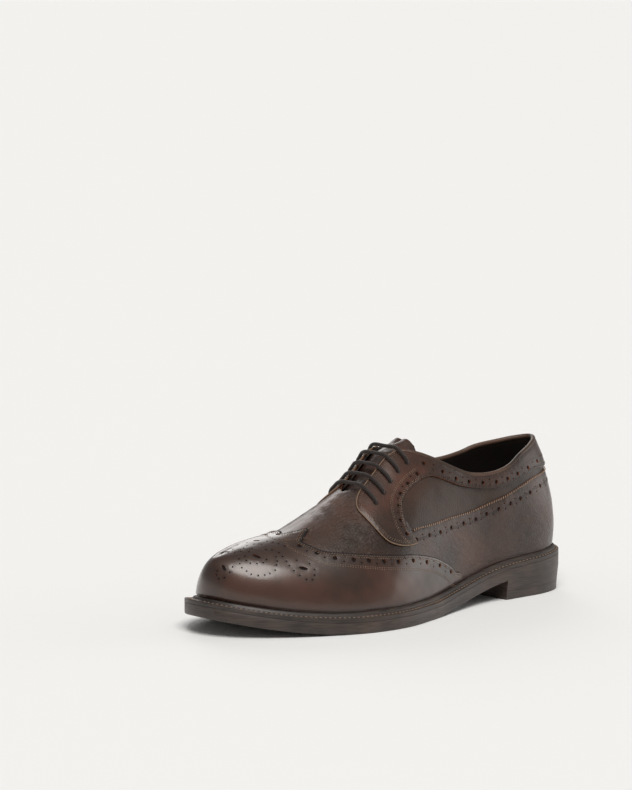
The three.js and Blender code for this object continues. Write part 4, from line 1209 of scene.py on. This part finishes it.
def smooth_route(points, count):
    """Even points on a smooth curve through the given ones."""
    points = np.asarray(points, float)
    lengths = lengths_along(points)
    curves = [smooth_curve(lengths, points[:, k], (points[1, k] - points[0, k]) / lengths[1],
                           (points[-1, k] - points[-2, k]) / (lengths[-1] - lengths[-2])) for k in range(3)]
    at = np.linspace(0, lengths[-1], count)
    return np.stack([curve(at) for curve in curves], -1)


def layer_mesh(last, turns, rows, levels):
    """Points and faces of a level piece such as a sole, closed by strips across. Rows go upwards."""
    count = len(turns)
    points = []
    for inset, level, rise in rows:
        for side in (1, -1):
            s, a, _, _ = last.outline(turns, side, inset)
            points.append(np.stack([s, a, levels[level](s) + rise], -1))

    def at(level, side, i):
        return (level * 2 + side) * count + i

    quads = []
    top = len(rows) - 1
    for i in range(count - 1):
        quads.append((at(top, 0, i), at(top, 1, i), at(top, 1, i + 1), at(top, 0, i + 1)))
        quads.append((at(0, 0, i), at(0, 0, i + 1), at(0, 1, i + 1), at(0, 1, i)))
        for level in range(top):
            quads.append((at(level, 0, i), at(level + 1, 0, i), at(level + 1, 0, i + 1), at(level, 0, i + 1)))
            quads.append((at(level, 1, i), at(level, 1, i + 1), at(level + 1, 1, i + 1), at(level + 1, 1, i)))
    for level in range(top):
        quads.append((at(level, 0, count - 1), at(level + 1, 0, count - 1), at(level + 1, 1, count - 1),
                      at(level, 1, count - 1)))
    (points,), triangles = weld(np.vstack(points), triangles=halved(quads))
    return points, triangles


class BROGUE_PG_sizes(bpy.types.PropertyGroup):
    sole_length: FloatProperty(name="Sole length", description="Outsole from heel to toe", default=0.3,
                               unit="LENGTH")
    heel_width: FloatProperty(name="Heel width", description="Outsole across the heel", default=0.072,
                              unit="LENGTH")
    waist_width: FloatProperty(name="Waist width", description="Outsole across the waist", default=0.074,
                               unit="LENGTH")
    ball_width: FloatProperty(name="Ball width", description="Outsole across the ball", default=0.112,
                              unit="LENGTH")
    last_curve: FloatProperty(name="Last curve", description="Swing of the last to the outer side",
                              default=0.015, unit="LENGTH")
    heel_length: FloatProperty(name="Heel length", description="Heel block from back to breast",
                               default=0.068, unit="LENGTH")
    heel_height: FloatProperty(name="Heel height", description="Heel block at its breast", default=0.0127,
                               unit="LENGTH")
    toe_spring: FloatProperty(name="Toe spring", description="Lift of the toe", default=0.012, unit="LENGTH")
    outsole_thickness: FloatProperty(name="Outsole", description="Thickness of the outsole", default=0.0072,
                                     unit="LENGTH")
    welt_thickness: FloatProperty(name="Welt", description="Thickness of the welt", default=0.003,
                                  unit="LENGTH")
    welt_width: FloatProperty(name="Welt width", description="Welt that shows at the toe", default=0.008,
                              unit="LENGTH")
    welt_bead: FloatProperty(name="Welt bead", description="Height of the bead against the upper",
                             default=0.0026, unit="LENGTH")
    instep_height: FloatProperty(name="Instep height", description="Height of the last's ridge at the back",
                                 default=0.13, unit="LENGTH")
    toe_height: FloatProperty(name="Toe height", description="Height of the last at the toe", default=0.05,
                              unit="LENGTH")
    upper_wall: FloatProperty(name="Upper wall", description="Leather and lining together", default=0.0028,
                              unit="LENGTH")
    lace_diameter: FloatProperty(name="Lace", description="Thickness of the round lace", default=0.0025,
                                 unit="LENGTH")


class BROGUE_PG_colors(bpy.types.PropertyGroup):
    leather: FloatVectorProperty(name="Leather", description="Main brown of the upper", subtype="COLOR",
                                 default=(0.038, 0.0155, 0.0095))
    # Also paints the shade low down near the welt
    burnish: FloatVectorProperty(name="Burnish", description="Dark polish at edges", subtype="COLOR",
                                 default=(0.009, 0.005, 0.004))
    rubbed: FloatVectorProperty(name="Rubbed", description="Reddish brown where polish is thin",
                                subtype="COLOR", default=(0.085, 0.026, 0.0135))
    quarter: FloatVectorProperty(name="Quarter", description="Greyer brown of the quarters", subtype="COLOR",
                                 default=(0.034, 0.019, 0.0125))
    edge: FloatVectorProperty(name="Folded edge", description="Light brown of the folded collar edge",
                              subtype="COLOR", default=(0.095, 0.056, 0.038))
    cut: FloatVectorProperty(name="Cut leather", description="Bare leather in holes and along cut edges",
                             subtype="COLOR", default=(0.19, 0.07, 0.035))
    thread: FloatVectorProperty(name="Thread", description="Thread of the seams", subtype="COLOR",
                                default=(0.02, 0.012, 0.009))
    gimp_thread: FloatVectorProperty(name="Light thread", description="Thread along the gimped edges",
                                     subtype="COLOR", default=(0.36, 0.235, 0.155))
    sole: FloatVectorProperty(name="Sole edge", description="Waxed edge of sole and heel", subtype="COLOR",
                              default=(0.026, 0.0175, 0.0135))
    lace: FloatVectorProperty(name="Lace", description="Waxed lace", subtype="COLOR",
                              default=(0.02, 0.0115, 0.0085))


class BROGUE_OT_sole(bpy.types.Operator):
    """Build the outsole and the heel block"""
    bl_idname = "brogue.sole"
    bl_label = "Sole and heel"

    def execute(self, context):
        last = the_last()
        color = tuple(context.scene.brogue_colors.sole)
        material = striated_material("Sole edge", toned(color, 0.7), toned(color, 3.2))
        turns = np.linspace(0, math.pi, 241)
        points, faces = layer_mesh(last, turns, SOLE_EDGE, {"bottom": last.ground, "top": last.sole_top})
        make_object("outsole_dressed", last.world(points), faces, [material], ["outsole"])
        turns = np.linspace(0, float(turn_at(last.heel_length / last.length)), 90)
        levels = {"floor": lambda s: s * 0, "seat": lambda s: last.ground(s) - SEAT_GAP}
        points, faces = layer_mesh(last, turns, HEEL_EDGE, levels)
        make_object("heel_dressed", last.world(points), faces, [material], ["heel"])
        return {"FINISHED"}


class BROGUE_OT_welt(bpy.types.Operator):
    """Build the storm welt with its bead and stitches"""
    bl_idname = "brogue.welt"
    bl_label = "Welt"

    def execute(self, context):
        last = the_last()
        colors = context.scene.brogue_colors
        color = tuple(colors.sole)
        material = striated_material("Welt leather", toned(color, 0.5), toned(color, 2.6))
        turns = np.linspace(0, math.pi, 361)
        points, faces = [], []
        for side in (1, -1):
            ring = np.stack(self.section(last, turns, side), 1)
            start = sum(len(p) for p in points)
            points.append(ring.reshape(-1, 3))
            faces.append(start + self.ring_faces(len(turns), ring.shape[1], side))
        (points,), faces = weld(np.vstack(points), triangles=np.vstack(faces))
        make_object("welt_dressed", last.world(points), faces, [material], ["welt"], sharp=60)
        rows = [self.stitches(last, side) for side in (1, -1)]
        thread = thread_material("Welt thread", tuple(colors.gimp_thread))
        round_piece("welt_stitches", last, rows, thread)
        return {"FINISHED"}

    def section(self, last, turns, side):
        """Points round the welt's section, from its lower edge over the bead and down beside the upper."""
        foot, rounding, bead_out, foot_out = last.bead_foot(turns), 0.15, 0.35, 0.3
        sides = np.full(len(turns), float(side))

        def at(inset, rise):
            s, a, _, _ = last.outline(turns, side, inset)
            return np.stack([s, a, last.welt_top(s) + rise], -1)

        bead_down = side * last.down_at_height(turns, sides, last.bead)
        return [
            at(foot_out, -last.welt), at(0.0, rounding - last.welt),
            *(at(foot * share + more, rise) for share, more, rise in WELT_SECTION),
            last.offset(turns, bead_down, bead_out),
            last.offset(turns, sides, foot_out),
            last.offset(turns, sides * 2, foot_out),
        ]

    def ring_faces(self, count, size, side):
        """Triangles round a ring of sections."""
        i, j = np.meshgrid(np.arange(count - 1), np.arange(size), indexing="ij")
        k = (j + 1) % size
        quads = np.stack([i * size + j, i * size + k, (i + 1) * size + k, (i + 1) * size + j], -1)
        quads = quads.reshape(-1, 4)
        return halved(quads if side > 0 else quads[:, ::-1])

    def stitches(self, last, side):
        """Thread lying in the welt's groove."""
        margin, sunk, ridge, root = 0.05, 0.25, 0.35, 0.3
        turns = np.linspace(margin, math.pi - margin, 1400)
        s, a, _, _ = last.outline(turns, side, last.bead_foot(turns) * WELT_GROOVE)
        line = np.stack([s, a, last.welt_top(s) + WELT_STITCH["lift"]], -1)
        lengths = lengths_along(line)
        at = np.arange(0, lengths[-1], WELT_STITCH["pitch"])
        centre = np.stack([np.interp(at, lengths, line[:, k]) for k in range(3)], -1)
        ahead = unit(np.gradient(centre, axis=0))
        up = np.array([0.0, 0.0, 1.0])
        left = unit(np.cross(up, ahead))
        return stitch_shapes(centre, ahead * WELT_STITCH["length"] / 2, left * WELT_STITCH["width"] / 2,
                             up * sunk, up * ridge, up * root)


class BROGUE_OT_wall(bpy.types.Operator):
    """Build the quarters with their lining, and the insole"""
    bl_idname = "brogue.wall"
    bl_label = "Quarters and lining"

    def execute(self, context):
        last = the_last()
        turns = np.linspace(0, math.pi, 221)
        throat = float(turn_at(THROAT_ALONG))
        turns[np.argmin(np.abs(turns - throat))] = throat
        skins = [self.half(last, turns, side) for side in (1, -1)]
        leathers = [brown("quarter"), brown("lining"), brown("quarter")]
        leather_piece("quarters", last, skins, leathers, ["upper"])
        self.insole(last)
        return {"FINISHED"}

    def half(self, last, turns, side):
        """One side of the wall, from the soft lip of its topline to its foot."""
        steps, lip_depth, foot_step = 46, 0.35, 2.0
        top = last.topline(turns, side)[:, None]
        down = top + (1 - top) * np.linspace(0, 1, steps)[None]
        down = side * np.hstack([down, np.full((len(turns), 1), foot_step)])
        turn = np.repeat(turns[:, None], steps + 1, 1)
        lip = np.zeros(down.shape)
        lip[:, 0] = lip_depth
        outer = last.offset(turn, down, leather_wave(last, turn, down) - PANEL_STEP - lip)
        inner = last.offset(turn, down, lip - last.wall)
        flat = np.stack([turn.ravel(), np.clip(down.ravel(), -1, 1)], -1)
        tint = leather_tint(last, flat, np.stack([turns, last.foxing(turns) * side], -1))
        quads = grid_quads(len(turns), steps + 1)
        triangles = halved(quads if side > 0 else quads[:, ::-1])
        return outer.reshape(-1, 3), inner.reshape(-1, 3), tint, triangles

    def insole(self, last):
        clearance, body, thickness, rounding = 0.4, 2.5, 3.0, 0.6
        turns = np.linspace(0, math.pi, 161)
        inset = last.inset(turns) + last.wall + clearance
        rows = ((inset, "floor", 0), (inset, "floor", body), (inset + rounding, "floor", thickness))
        points, faces = layer_mesh(last, turns, rows, {"floor": last.welt_bottom})
        make_object("sock", last.world(points), faces, [brown("lining")], ["insole"])


class BROGUE_OT_vamp(bpy.types.Operator):
    """Build the vamp and foxing with their gimped, punched and stitched edge"""
    bl_idname = "brogue.vamp"
    bl_label = "Vamp and foxing"

    def execute(self, context):
        last = the_last()
        colors = context.scene.brogue_colors
        edges, holes, centres, light, plain = {}, [], [], [], []
        for side in (1, -1):
            line = drawn_line(last, [row for row in FOXING if row[0] < VAMP_UNDER_FACING[1][0]], side)
            under = drawn_line(last, VAMP_UNDER_FACING, side, 1.2)
            edges[side] = np.vstack([gimped(last, line, GIMP_PITCH, 0.5), under[1:]])
            rings, spots = perforations(last, FOXING_HOLES, side)
            holes += rings
            centres += spots
            light += seam_rows(last, "foxing_edge", line, side, slant=side * GIMP_STITCH_SLANT)
            plain += seam_rows(last, "foxing", line, side)
        skin = panel_skin(last, self.outline(edges), holes, lambda t, d: t * 0 - VAMP_THICKNESS,
                          VAMP_THICKNESS, 2.0, shapes=(leather_wave, crease_depth))
        leather_piece("vamp", last, [skin], cut_panel("vamp"), ())
        hole_shade_discs("foxing_hole_backs", last, centres, lambda t, d: 0.1 - VAMP_THICKNESS)
        pale, dark = tuple(colors.gimp_thread), tuple(colors.thread)
        round_piece("foxing_light_stitches", last, light, thread_material("Light thread", pale))
        round_piece("foxing_stitches", last, plain, thread_material("Seam thread", dark))
        return {"FINISHED"}

    def outline(self, edges):
        """Round the vamp: both top edges, down the heel, and along the welt by way of the toe."""
        back = np.linspace(FOXING[0][1], 1, 56)[1:]
        heel = np.zeros(len(back))
        foot = np.linspace(0, math.pi, 300)[1:]
        return np.vstack([
            edges[1],
            edges[-1][::-1][1:],
            np.stack([heel, -back], -1),
            np.stack([foot, np.full(len(foot), -1.0)], -1),
            across_toe(1.0, 1.6)[::-1],
            np.stack([foot[::-1], np.full(len(foot), 1.0)], -1),
            np.stack([heel, back], -1)[::-1],
        ])


class BROGUE_OT_cap(bpy.types.Operator):
    """Build the wing cap with its spear, holes, medallion and stitches"""
    bl_idname = "brogue.cap"
    bl_label = "Wing cap"

    def execute(self, context):
        last = the_last()
        lines = {side: wing_line(last, side) for side in (1, -1)}
        holes, centres, edges, rows = [], [], {}, []
        for side, places in ((1, WING_HOLES), (-1, WING_HOLES_INSIDE)):
            edges[side] = gimped(last, lines[side], GIMP_PITCH, 0.55)
            rings, spots = perforations(last, places, 1, WING_HOLE)
            holes += rings
            centres += spots
            rows += seam_rows(last, "wing_edge", lines[side], -side, self.face)
            rows += seam_rows(last, "wing", lines[side], -side, self.face)
        rings, spots = self.medallion(last)
        holes += rings
        centres += spots
        skin = panel_skin(last, self.outline(last, edges), holes, self.back, CAP_THICKNESS, 1.7,
                          warmth=self.redness)
        leather_piece("cap", last, [skin], cut_panel("cap"), ["wing_cap"])
        hole_shade_discs("cap_hole_backs", last, centres, lambda t, d: CAP_LEVEL + HOLE_SHADE_LIFT)
        tan = toned(context.scene.brogue_colors.gimp_thread, 0.7)
        round_piece("cap_stitches", last, rows, thread_material("Tan thread", tan))
        self.painted_edge_shadow(last, lines)
        return {"FINISHED"}

    def back(self, turn, down):
        return turn * 0 + CAP_LEVEL

    def face(self, turn, down):
        return self.back(turn, down) + CAP_THICKNESS

    def outline(self, last, edges):
        """Round the cap: both wings from the spear, and along the welt by way of the toe."""
        height = last.bead + CAP_OVER_BEAD
        feet = {side: foot_line(last, side, edges[side][-1, 0], math.pi, height) for side in (1, -1)}
        return np.vstack([
            edges[1][::-1],
            edges[-1][1:],
            feet[-1][1:],
            across_toe(float(abs(feet[1][-1, 1])))[::-1],
            feet[1][::-1][:-1],
        ])

    def painted_edge_shadow(self, last, lines):
        """Painted shadow of the cap's edge: a dark cord in the step along the wing's edge, thickest at the
        spear.
        """
        count, thin, more = 260, 0.32, 0.55
        parts = []
        for side in (1, -1):
            line = beside(last, lines[side], side * 0.35)
            route = smooth_route(last.offset(line[:, 0], line[:, 1], np.full(len(line), 0.1))[::3], count)
            parts.append(tube(route, thin + more * np.exp(-np.linspace(0, 4.5, count) ** 2), 8))
        # Dark cord that paints the shadow cast by the cap's edge
        edge_shadow = plain_material("Dark polish", EDGE_SHADOW_COLOR, 0.7)
        round_piece("wing_edge_polish", last, parts, edge_shadow)

    def redness(self, flat):
        """More red towards the sides of the toe."""
        return 0.75 * smooth_step(np.abs(flat[:, 1]), 0.35, 0.75)

    def medallion(self, last):
        """The punched figure on the toe: five long holes among rows of dots."""
        rings, centres = [], []
        for along, down, radius, stretch, twist in MEDALLION_LONG:
            spot = np.array([float(turn_at(along)), down])
            ahead, left, normal = last.axes(*spot)
            way = unit(math.cos(twist) * (left - ahead) + math.sin(twist) * (left + ahead))
            rings.append(hole_ring(last, spot, way, unit(np.cross(normal, way)), radius, stretch, 14))
            centres.append((spot, radius * stretch))
        for along, down in MEDALLION_DOTS:
            spot = np.array([float(turn_at(along)), down])
            ahead, left, _ = last.axes(*spot)
            rings.append(hole_ring(last, spot, ahead, left, SMALL_HOLE, sides=8))
            centres.append((spot, SMALL_HOLE))
        return rings, centres


class BROGUE_OT_collar(bpy.types.Operator):
    """Build the collar band and the folded edge of the topline"""
    bl_idname = "brogue.collar"
    bl_label = "Collar band"

    def execute(self, context):
        last = the_last()
        skins, centres, rows = [], [], []
        end = float(turn_at(JOIN_ALONG - 0.0002))
        for side in (1, -1):
            low = drawn_line(last, BAND, side)
            low = low[low[:, 0] <= end]
            low = np.vstack([low, [end, low[-1, 1]]])
            rings, spots = perforations(last, BAND_HOLES, side)
            centres += spots
            skins.append(panel_skin(last, self.outline(last, side, low, end), rings, last.panel_back,
                                    PANEL_THICKNESS, 1.6, warmth=lambda flat: 0.35, shapes=(),
                                    round_edge=0.3, hole_round=0, joined_at=end))
            rows += seam_rows(last, "band", low, -side, last.panel_face)
        leather_piece("band", last, skins, cut_panel("facing"), ["collar_band"])
        hole_shade_discs("band_hole_backs", last, centres, last.panel_hole_shade)
        thread = thread_material("Seam thread", tuple(context.scene.brogue_colors.thread))
        round_piece("band_stitches", last, rows, thread)
        self.fold(last)
        return {"FINISHED"}

    def outline(self, last, side, low, end):
        """Round one half of the band, from its end along the topline and back along its lower edge."""
        turns, over_topline = np.linspace(0, end, 230), 0.004
        top = np.stack([turns, side * (last.topline(turns, side) + over_topline)], -1)
        back = np.linspace(abs(top[0, 1]), abs(low[0, 1]), 12)[1:-1]
        front = np.linspace(abs(low[-1, 1]), abs(top[-1, 1]), 14)[1:-1]
        return np.vstack([
            top[::-1],
            np.stack([np.zeros(len(back)), side * back], -1),
            gimped(last, low, GIMP_PITCH, 0.25),
            np.stack([np.full(len(front), end), side * front], -1),
        ])

    def fold(self, last):
        """The rolled edge round the opening, from facing to facing."""
        fold_along, depth, radius, count, taper_count = 0.47, 1.15, 1.75, 420, 12
        turns = np.linspace(0, float(turn_at(fold_along)), 150)
        outside = np.stack([turns, last.topline(turns, 1)], -1)
        across = np.stack([turns, -last.topline(turns, -1)], -1)
        line = np.vstack([outside[::-1], across[1:]])
        centre = last.offset(line[:, 0], line[:, 1], np.full(len(line), -depth))
        steps = np.arange(count)
        taper = np.clip(np.minimum(steps, steps[::-1]) / taper_count, 0.35, 1)
        verts, faces = tube(smooth_route(centre[::3], count), radius * taper, 12)
        tint = np.tile([0.1, 0.0, 0.5, 1.0], (len(verts), 1))
        make_object("collar_fold", last.world(verts), faces, [brown("roll")], tint=tint,
                    sharp=180)


class BROGUE_OT_facings(bpy.types.Operator):
    """Build both facings with lace holes, punched band and stitches"""
    bl_idname = "brogue.facings"
    bl_label = "Facings"

    def execute(self, context):
        last = the_last()
        pale = context.scene.brogue_colors.gimp_thread
        centres, rows, edges = [], [], []
        for side, name in ((1, "facing_lateral"), (-1, "facing_medial")):
            front = drawn_line(last, FACING_FRONT, side)
            back = drawn_line(last, FACING_BACK, side)
            rings, spots = perforations(last, FACING_HOLES, side)
            lace_rings, lace_spots = self.lace_holes(last, side)
            centres += spots + lace_spots
            skin = panel_skin(last, self.outline(last, side, front, back), rings + lace_rings,
                              last.panel_back, PANEL_THICKNESS, 1.5, warmth=self.redness, round_edge=0.5,
                              joined_at=back[-1, 0])
            leather_piece(name + "_leather", last, [skin], cut_panel("facing"), [name])
            edges.append(self.cut_edge(last, front))
            rows += seam_rows(last, "facing_back", back, side, last.panel_face)
            rows += seam_rows(last, "facing_front", front, side, last.panel_face)
        hole_shade_discs("facing_hole_backs", last, centres, last.panel_hole_shade)
        round_piece("facing_stitches", last, rows, thread_material("Tan thread", toned(pale, 0.7)))
        # pale cords that paint the highlight along the facings' front edges
        round_piece("facing_cut_edges", last, edges, plain_material("Cut edge", toned(pale, 0.6), 0.5))
        return {"FINISHED"}

    def outline(self, last, side, front, back):
        """Round one facing: its front edge, its gimped back edge and the join with the band."""
        top = np.linspace(abs(back[-1, 1]), abs(front[0, 1]), 16)[1:-1]
        return np.vstack([front, gimped(last, back, GIMP_PITCH, 0.25)[1:],
                          np.stack([np.full(len(top), back[-1, 0]), side * top], -1)])

    def lace_holes(self, last, side):
        rings, centres = [], []
        for along, down in LACE_ROWS:
            spot = np.array([float(turn_at(along)), side * down])
            ahead, left, _ = last.axes(*spot)
            rings.append(hole_ring(last, spot, ahead, left, LACE_HOLE))
            centres.append((spot, LACE_HOLE))
        return rings, centres

    def cut_edge(self, last, front):
        """A pale cord along a facing's folded front edge, as a painted highlight."""
        depth, radius = 0.45, 0.42
        turn, down = front[:, 0], front[:, 1]
        line = last.offset(turn, down, last.panel_face(turn, down) - depth)
        return tube(smooth_route(line[::4], 160), radius, 8)

    def redness(self, flat):
        """More red away from the front edge."""
        return 0.3 + 0.4 * smooth_step(np.abs(flat[:, 1]), 0.15, 0.4)


class BROGUE_OT_tongue(bpy.types.Operator):
    """Build the tongue"""
    bl_idname = "brogue.tongue"
    bl_label = "Tongue"

    def execute(self, context):
        last = the_last()
        thickness, ease, lift, slack_back, slack_tip = 2.5, 0.9, 3, 3, 4
        half_lobe, fold_width, fold_depth = 0.14, 0.12, 0.25
        tip_along, foot_along = TONGUE[0][0], TONGUE[-1][0]
        rounding = tip_along + np.array([0, 0.0005, 0.002])
        along = np.concatenate([rounding, np.linspace(tip_along + 0.005, foot_along, 90)])
        half = np.interp(along, [row[0] for row in TONGUE], [row[1] for row in TONGUE])
        steps = np.linspace(-1, 1, 61)[None]
        down = half[:, None] * steps
        across = np.abs(down)
        tip = 1 - smooth_step(along, tip_along, 0.455)[:, None]
        lobe = np.where(across < half_lobe, np.sin(math.pi * across / half_lobe), 0)
        slack = slack_back * (1 - smooth_step(along, 0.55, 0.62)[:, None]) + slack_tip * tip
        folds = np.sin(along[:, None] * 130 + across * 14) * np.exp(-(down / fold_width) ** 2)
        level = (lift * lobe * tip - last.wall - ease - slack * np.maximum(0, 1 - across / half_lobe)
                 + fold_depth * folds)
        turn = np.broadcast_to(turn_at(along)[:, None], down.shape)
        rim = np.clip(1 - (1 - np.abs(steps)) * 20, 0, 1) + 0 * down
        rim[0], rim[1] = 1, 0.5
        outer = last.offset(turn, down, level - 0.8 * rim).reshape(-1, 3)
        inner = last.offset(turn, down, level - thickness + 0.6 * rim).reshape(-1, 3)
        rim = rim.ravel()
        tint = np.stack([rim * 0.3, rim * 0, rim * 0 + 0.6, rim * 0 + 1], -1)
        leathers = [brown("facing"), brown("lining"), brown("facing")]
        triangles = halved(grid_quads(len(along), steps.shape[1]))
        closed_piece("tongue_leather", last, outer, inner, tint, triangles, leathers,
                     ["tongue"])
        return {"FINISHED"}


class BROGUE_OT_lace(bpy.types.Operator):
    """Build the lace, running through the holes of both facings"""
    bl_idname = "brogue.lace"
    bl_label = "Lace"

    def execute(self, context):
        last = the_last()
        radius = context.scene.brogue_sizes.lace_diameter / MM / 2
        material = thread_material("Waxed lace", tuple(context.scene.brogue_colors.lace), 1400, 0.6)
        for index, (along, down) in enumerate(LACE_ROWS):
            route = smooth_route(self.route(last, along, down, radius), 90)
            verts, faces = tube(route, radius, 12)
            make_object(f"lace_{index + 1}", last.world(verts), faces, [material],
                        [f"lace_bar_{index + 1}"], sharp=180)
        return {"FINISHED"}

    def route(self, last, along, down, radius):
        """From under one facing up through its hole, over the gap, and down through the other's."""
        clearance, inside_depth, bow = 0.12, -2.2, np.array([0, 0, 1.1])
        turn = float(turn_at(along))
        lie = PANEL_THICKNESS + PANEL_LEVEL + radius + clearance
        front = FACING_FRONT[:8]
        edge = float(np.interp(along, [row[0] for row in front], [row[1] for row in front]))
        steps = [(down * 1.03, inside_depth), (down * 1.01, 0.0), (down * 0.965, lie * 0.72),
                 (down * 0.88, lie), ((down + edge) / 2, lie), (edge, lie + 0.1)]
        ways = []
        for side in (1, -1):
            ways.append([last.offset(turn, side * d, h - (last.soft_sink(turn, d) if h > 0 else 0))
                         for d, h in steps])
        middle = (ways[0][-1] + ways[1][-1]) / 2 + bow
        return np.array([*ways[0], middle, *ways[1][::-1]])


class BROGUE_OT_stage(bpy.types.Operator):
    """Set up the pale floor, the studio light and the camera"""
    bl_idname = "brogue.stage"
    bl_label = "Stage and camera"

    def execute(self, context):
        context.scene.view_settings.view_transform = "Standard"
        self.floor()
        self.lights(context)
        self.camera(context)
        return {"FINISHED"}

    def floor(self):
        material, nodes, links, shader = start_material("Pale floor", 0.9, 0.0, 0.1)
        shader.inputs["Base Color"].default_value = (0.93, 0.928, 0.92, 1)
        half = 60.0
        mesh = bpy.data.meshes.new("floor")
        corners = [(-half, -half, 0), (half, -half, 0), (half, half, 0), (-half, half, 0)]
        mesh.from_pydata(corners, [], [(0, 1, 2, 3)])
        mesh.materials.append(material)
        floor = bpy.data.objects.new("floor", mesh)
        bpy.context.scene.collection.objects.link(floor)

    def lights(self, context):
        world = bpy.data.worlds.new("Studio")
        context.scene.world = world
        world.use_nodes = True
        nodes, links = world.node_tree.nodes, world.node_tree.links
        sky = nodes["Background"]
        sky.inputs["Color"].default_value = (1.0, 0.99, 0.975, 1)
        place = nodes.new("ShaderNodeTexCoord")
        axes = nodes.new("ShaderNodeSeparateXYZ")
        height = nodes.new("ShaderNodeMapRange")
        height.inputs["From Min"].default_value = 0.0
        height.inputs["From Max"].default_value = 0.8
        height.inputs["To Min"].default_value = 0.3
        height.inputs["To Max"].default_value = 0.24
        links.new(place.outputs["Generated"], axes.inputs["Vector"])
        links.new(axes.outputs["Z"], height.inputs["Value"])
        links.new(height.outputs["Result"], sky.inputs["Strength"])
        for name, aim, spread, power in SUNS:
            data = bpy.data.lights.new(name, "SUN")
            data.angle = math.radians(spread)
            data.energy = power
            data.color = (1.0, 0.985, 0.965)
            light = bpy.data.objects.new(name, data)
            light.rotation_mode = "QUATERNION"
            light.rotation_quaternion = Vector(aim).to_track_quat("-Z", "Y")
            context.scene.collection.objects.link(light)

    def camera(self, context):
        """The photograph's view: its turn, height, distance and where the shoe stands in the frame."""
        turn, height, distance = math.radians(42.446), math.radians(9.789), 2.4347
        aim_height = 0.035
        pixels_per_metre, frame_width, frame_height = 1525.0, 632, 790
        target_x, target_y = 380.3, 555.1
        last = the_last()
        target = Vector((last.shift[0] * MM, 0.0, aim_height))
        back = Vector((math.cos(turn) * math.cos(height), -math.sin(turn) * math.cos(height),
                       math.sin(height)))
        right = (-back).cross(Vector((0, 0, 1))).normalized()
        up = right.cross(-back)
        focal = pixels_per_metre * distance
        ahead = -back + right * ((frame_width / 2 - target_x) / focal) - up * (
            (frame_height / 2 - target_y) / focal)
        data = bpy.data.cameras.new("Camera")
        data.sensor_width = 36
        data.sensor_fit = "AUTO"
        data.lens = focal / frame_height * data.sensor_width
        data.clip_start, data.clip_end = 0.05, 50
        camera = bpy.data.objects.new("Camera", data)
        camera.location = target + back * distance
        camera.rotation_mode = "QUATERNION"
        camera.rotation_quaternion = ahead.to_track_quat("-Z", "Y")
        context.scene.collection.objects.link(camera)
        context.scene.camera = camera


class BROGUE_PT_panel(bpy.types.Panel):
    """Sizes, colours and build steps of the brogue"""
    bl_idname = "BROGUE_PT_panel"
    bl_label = "Brogue"
    bl_space_type = "VIEW_3D"
    bl_region_type = "UI"
    bl_category = "Brogue"

    def draw(self, context):
        layout = self.layout
        for group in (context.scene.brogue_sizes, context.scene.brogue_colors):
            box = layout.box()
            for name in group.__annotations__:
                box.prop(group, name)
        for operator in OPERATORS:
            layout.operator(operator.bl_idname)


OPERATORS = (
    BROGUE_OT_stage,
    BROGUE_OT_sole,
    BROGUE_OT_welt,
    BROGUE_OT_wall,
    BROGUE_OT_vamp,
    BROGUE_OT_cap,
    BROGUE_OT_collar,
    BROGUE_OT_facings,
    BROGUE_OT_tongue,
    BROGUE_OT_lace,
)
CLASSES = (BROGUE_PG_sizes, BROGUE_PG_colors, *OPERATORS, BROGUE_PT_panel)


def register():
    for cls in CLASSES:
        bpy.utils.register_class(cls)
    bpy.types.Scene.brogue_sizes = PointerProperty(type=BROGUE_PG_sizes)
    bpy.types.Scene.brogue_colors = PointerProperty(type=BROGUE_PG_colors)


def unregister():
    del bpy.types.Scene.brogue_colors
    del bpy.types.Scene.brogue_sizes
    for cls in reversed(CLASSES):
        bpy.utils.unregister_class(cls)


def main():
    register()
    bpy.ops.brogue.stage()
    bpy.ops.brogue.sole()
    bpy.ops.brogue.welt()
    bpy.ops.brogue.wall()
    bpy.ops.brogue.vamp()
    bpy.ops.brogue.cap()
    bpy.ops.brogue.collar()
    bpy.ops.brogue.facings()
    bpy.ops.brogue.tongue()
    bpy.ops.brogue.lace()


if __name__ == "__main__":
    main()
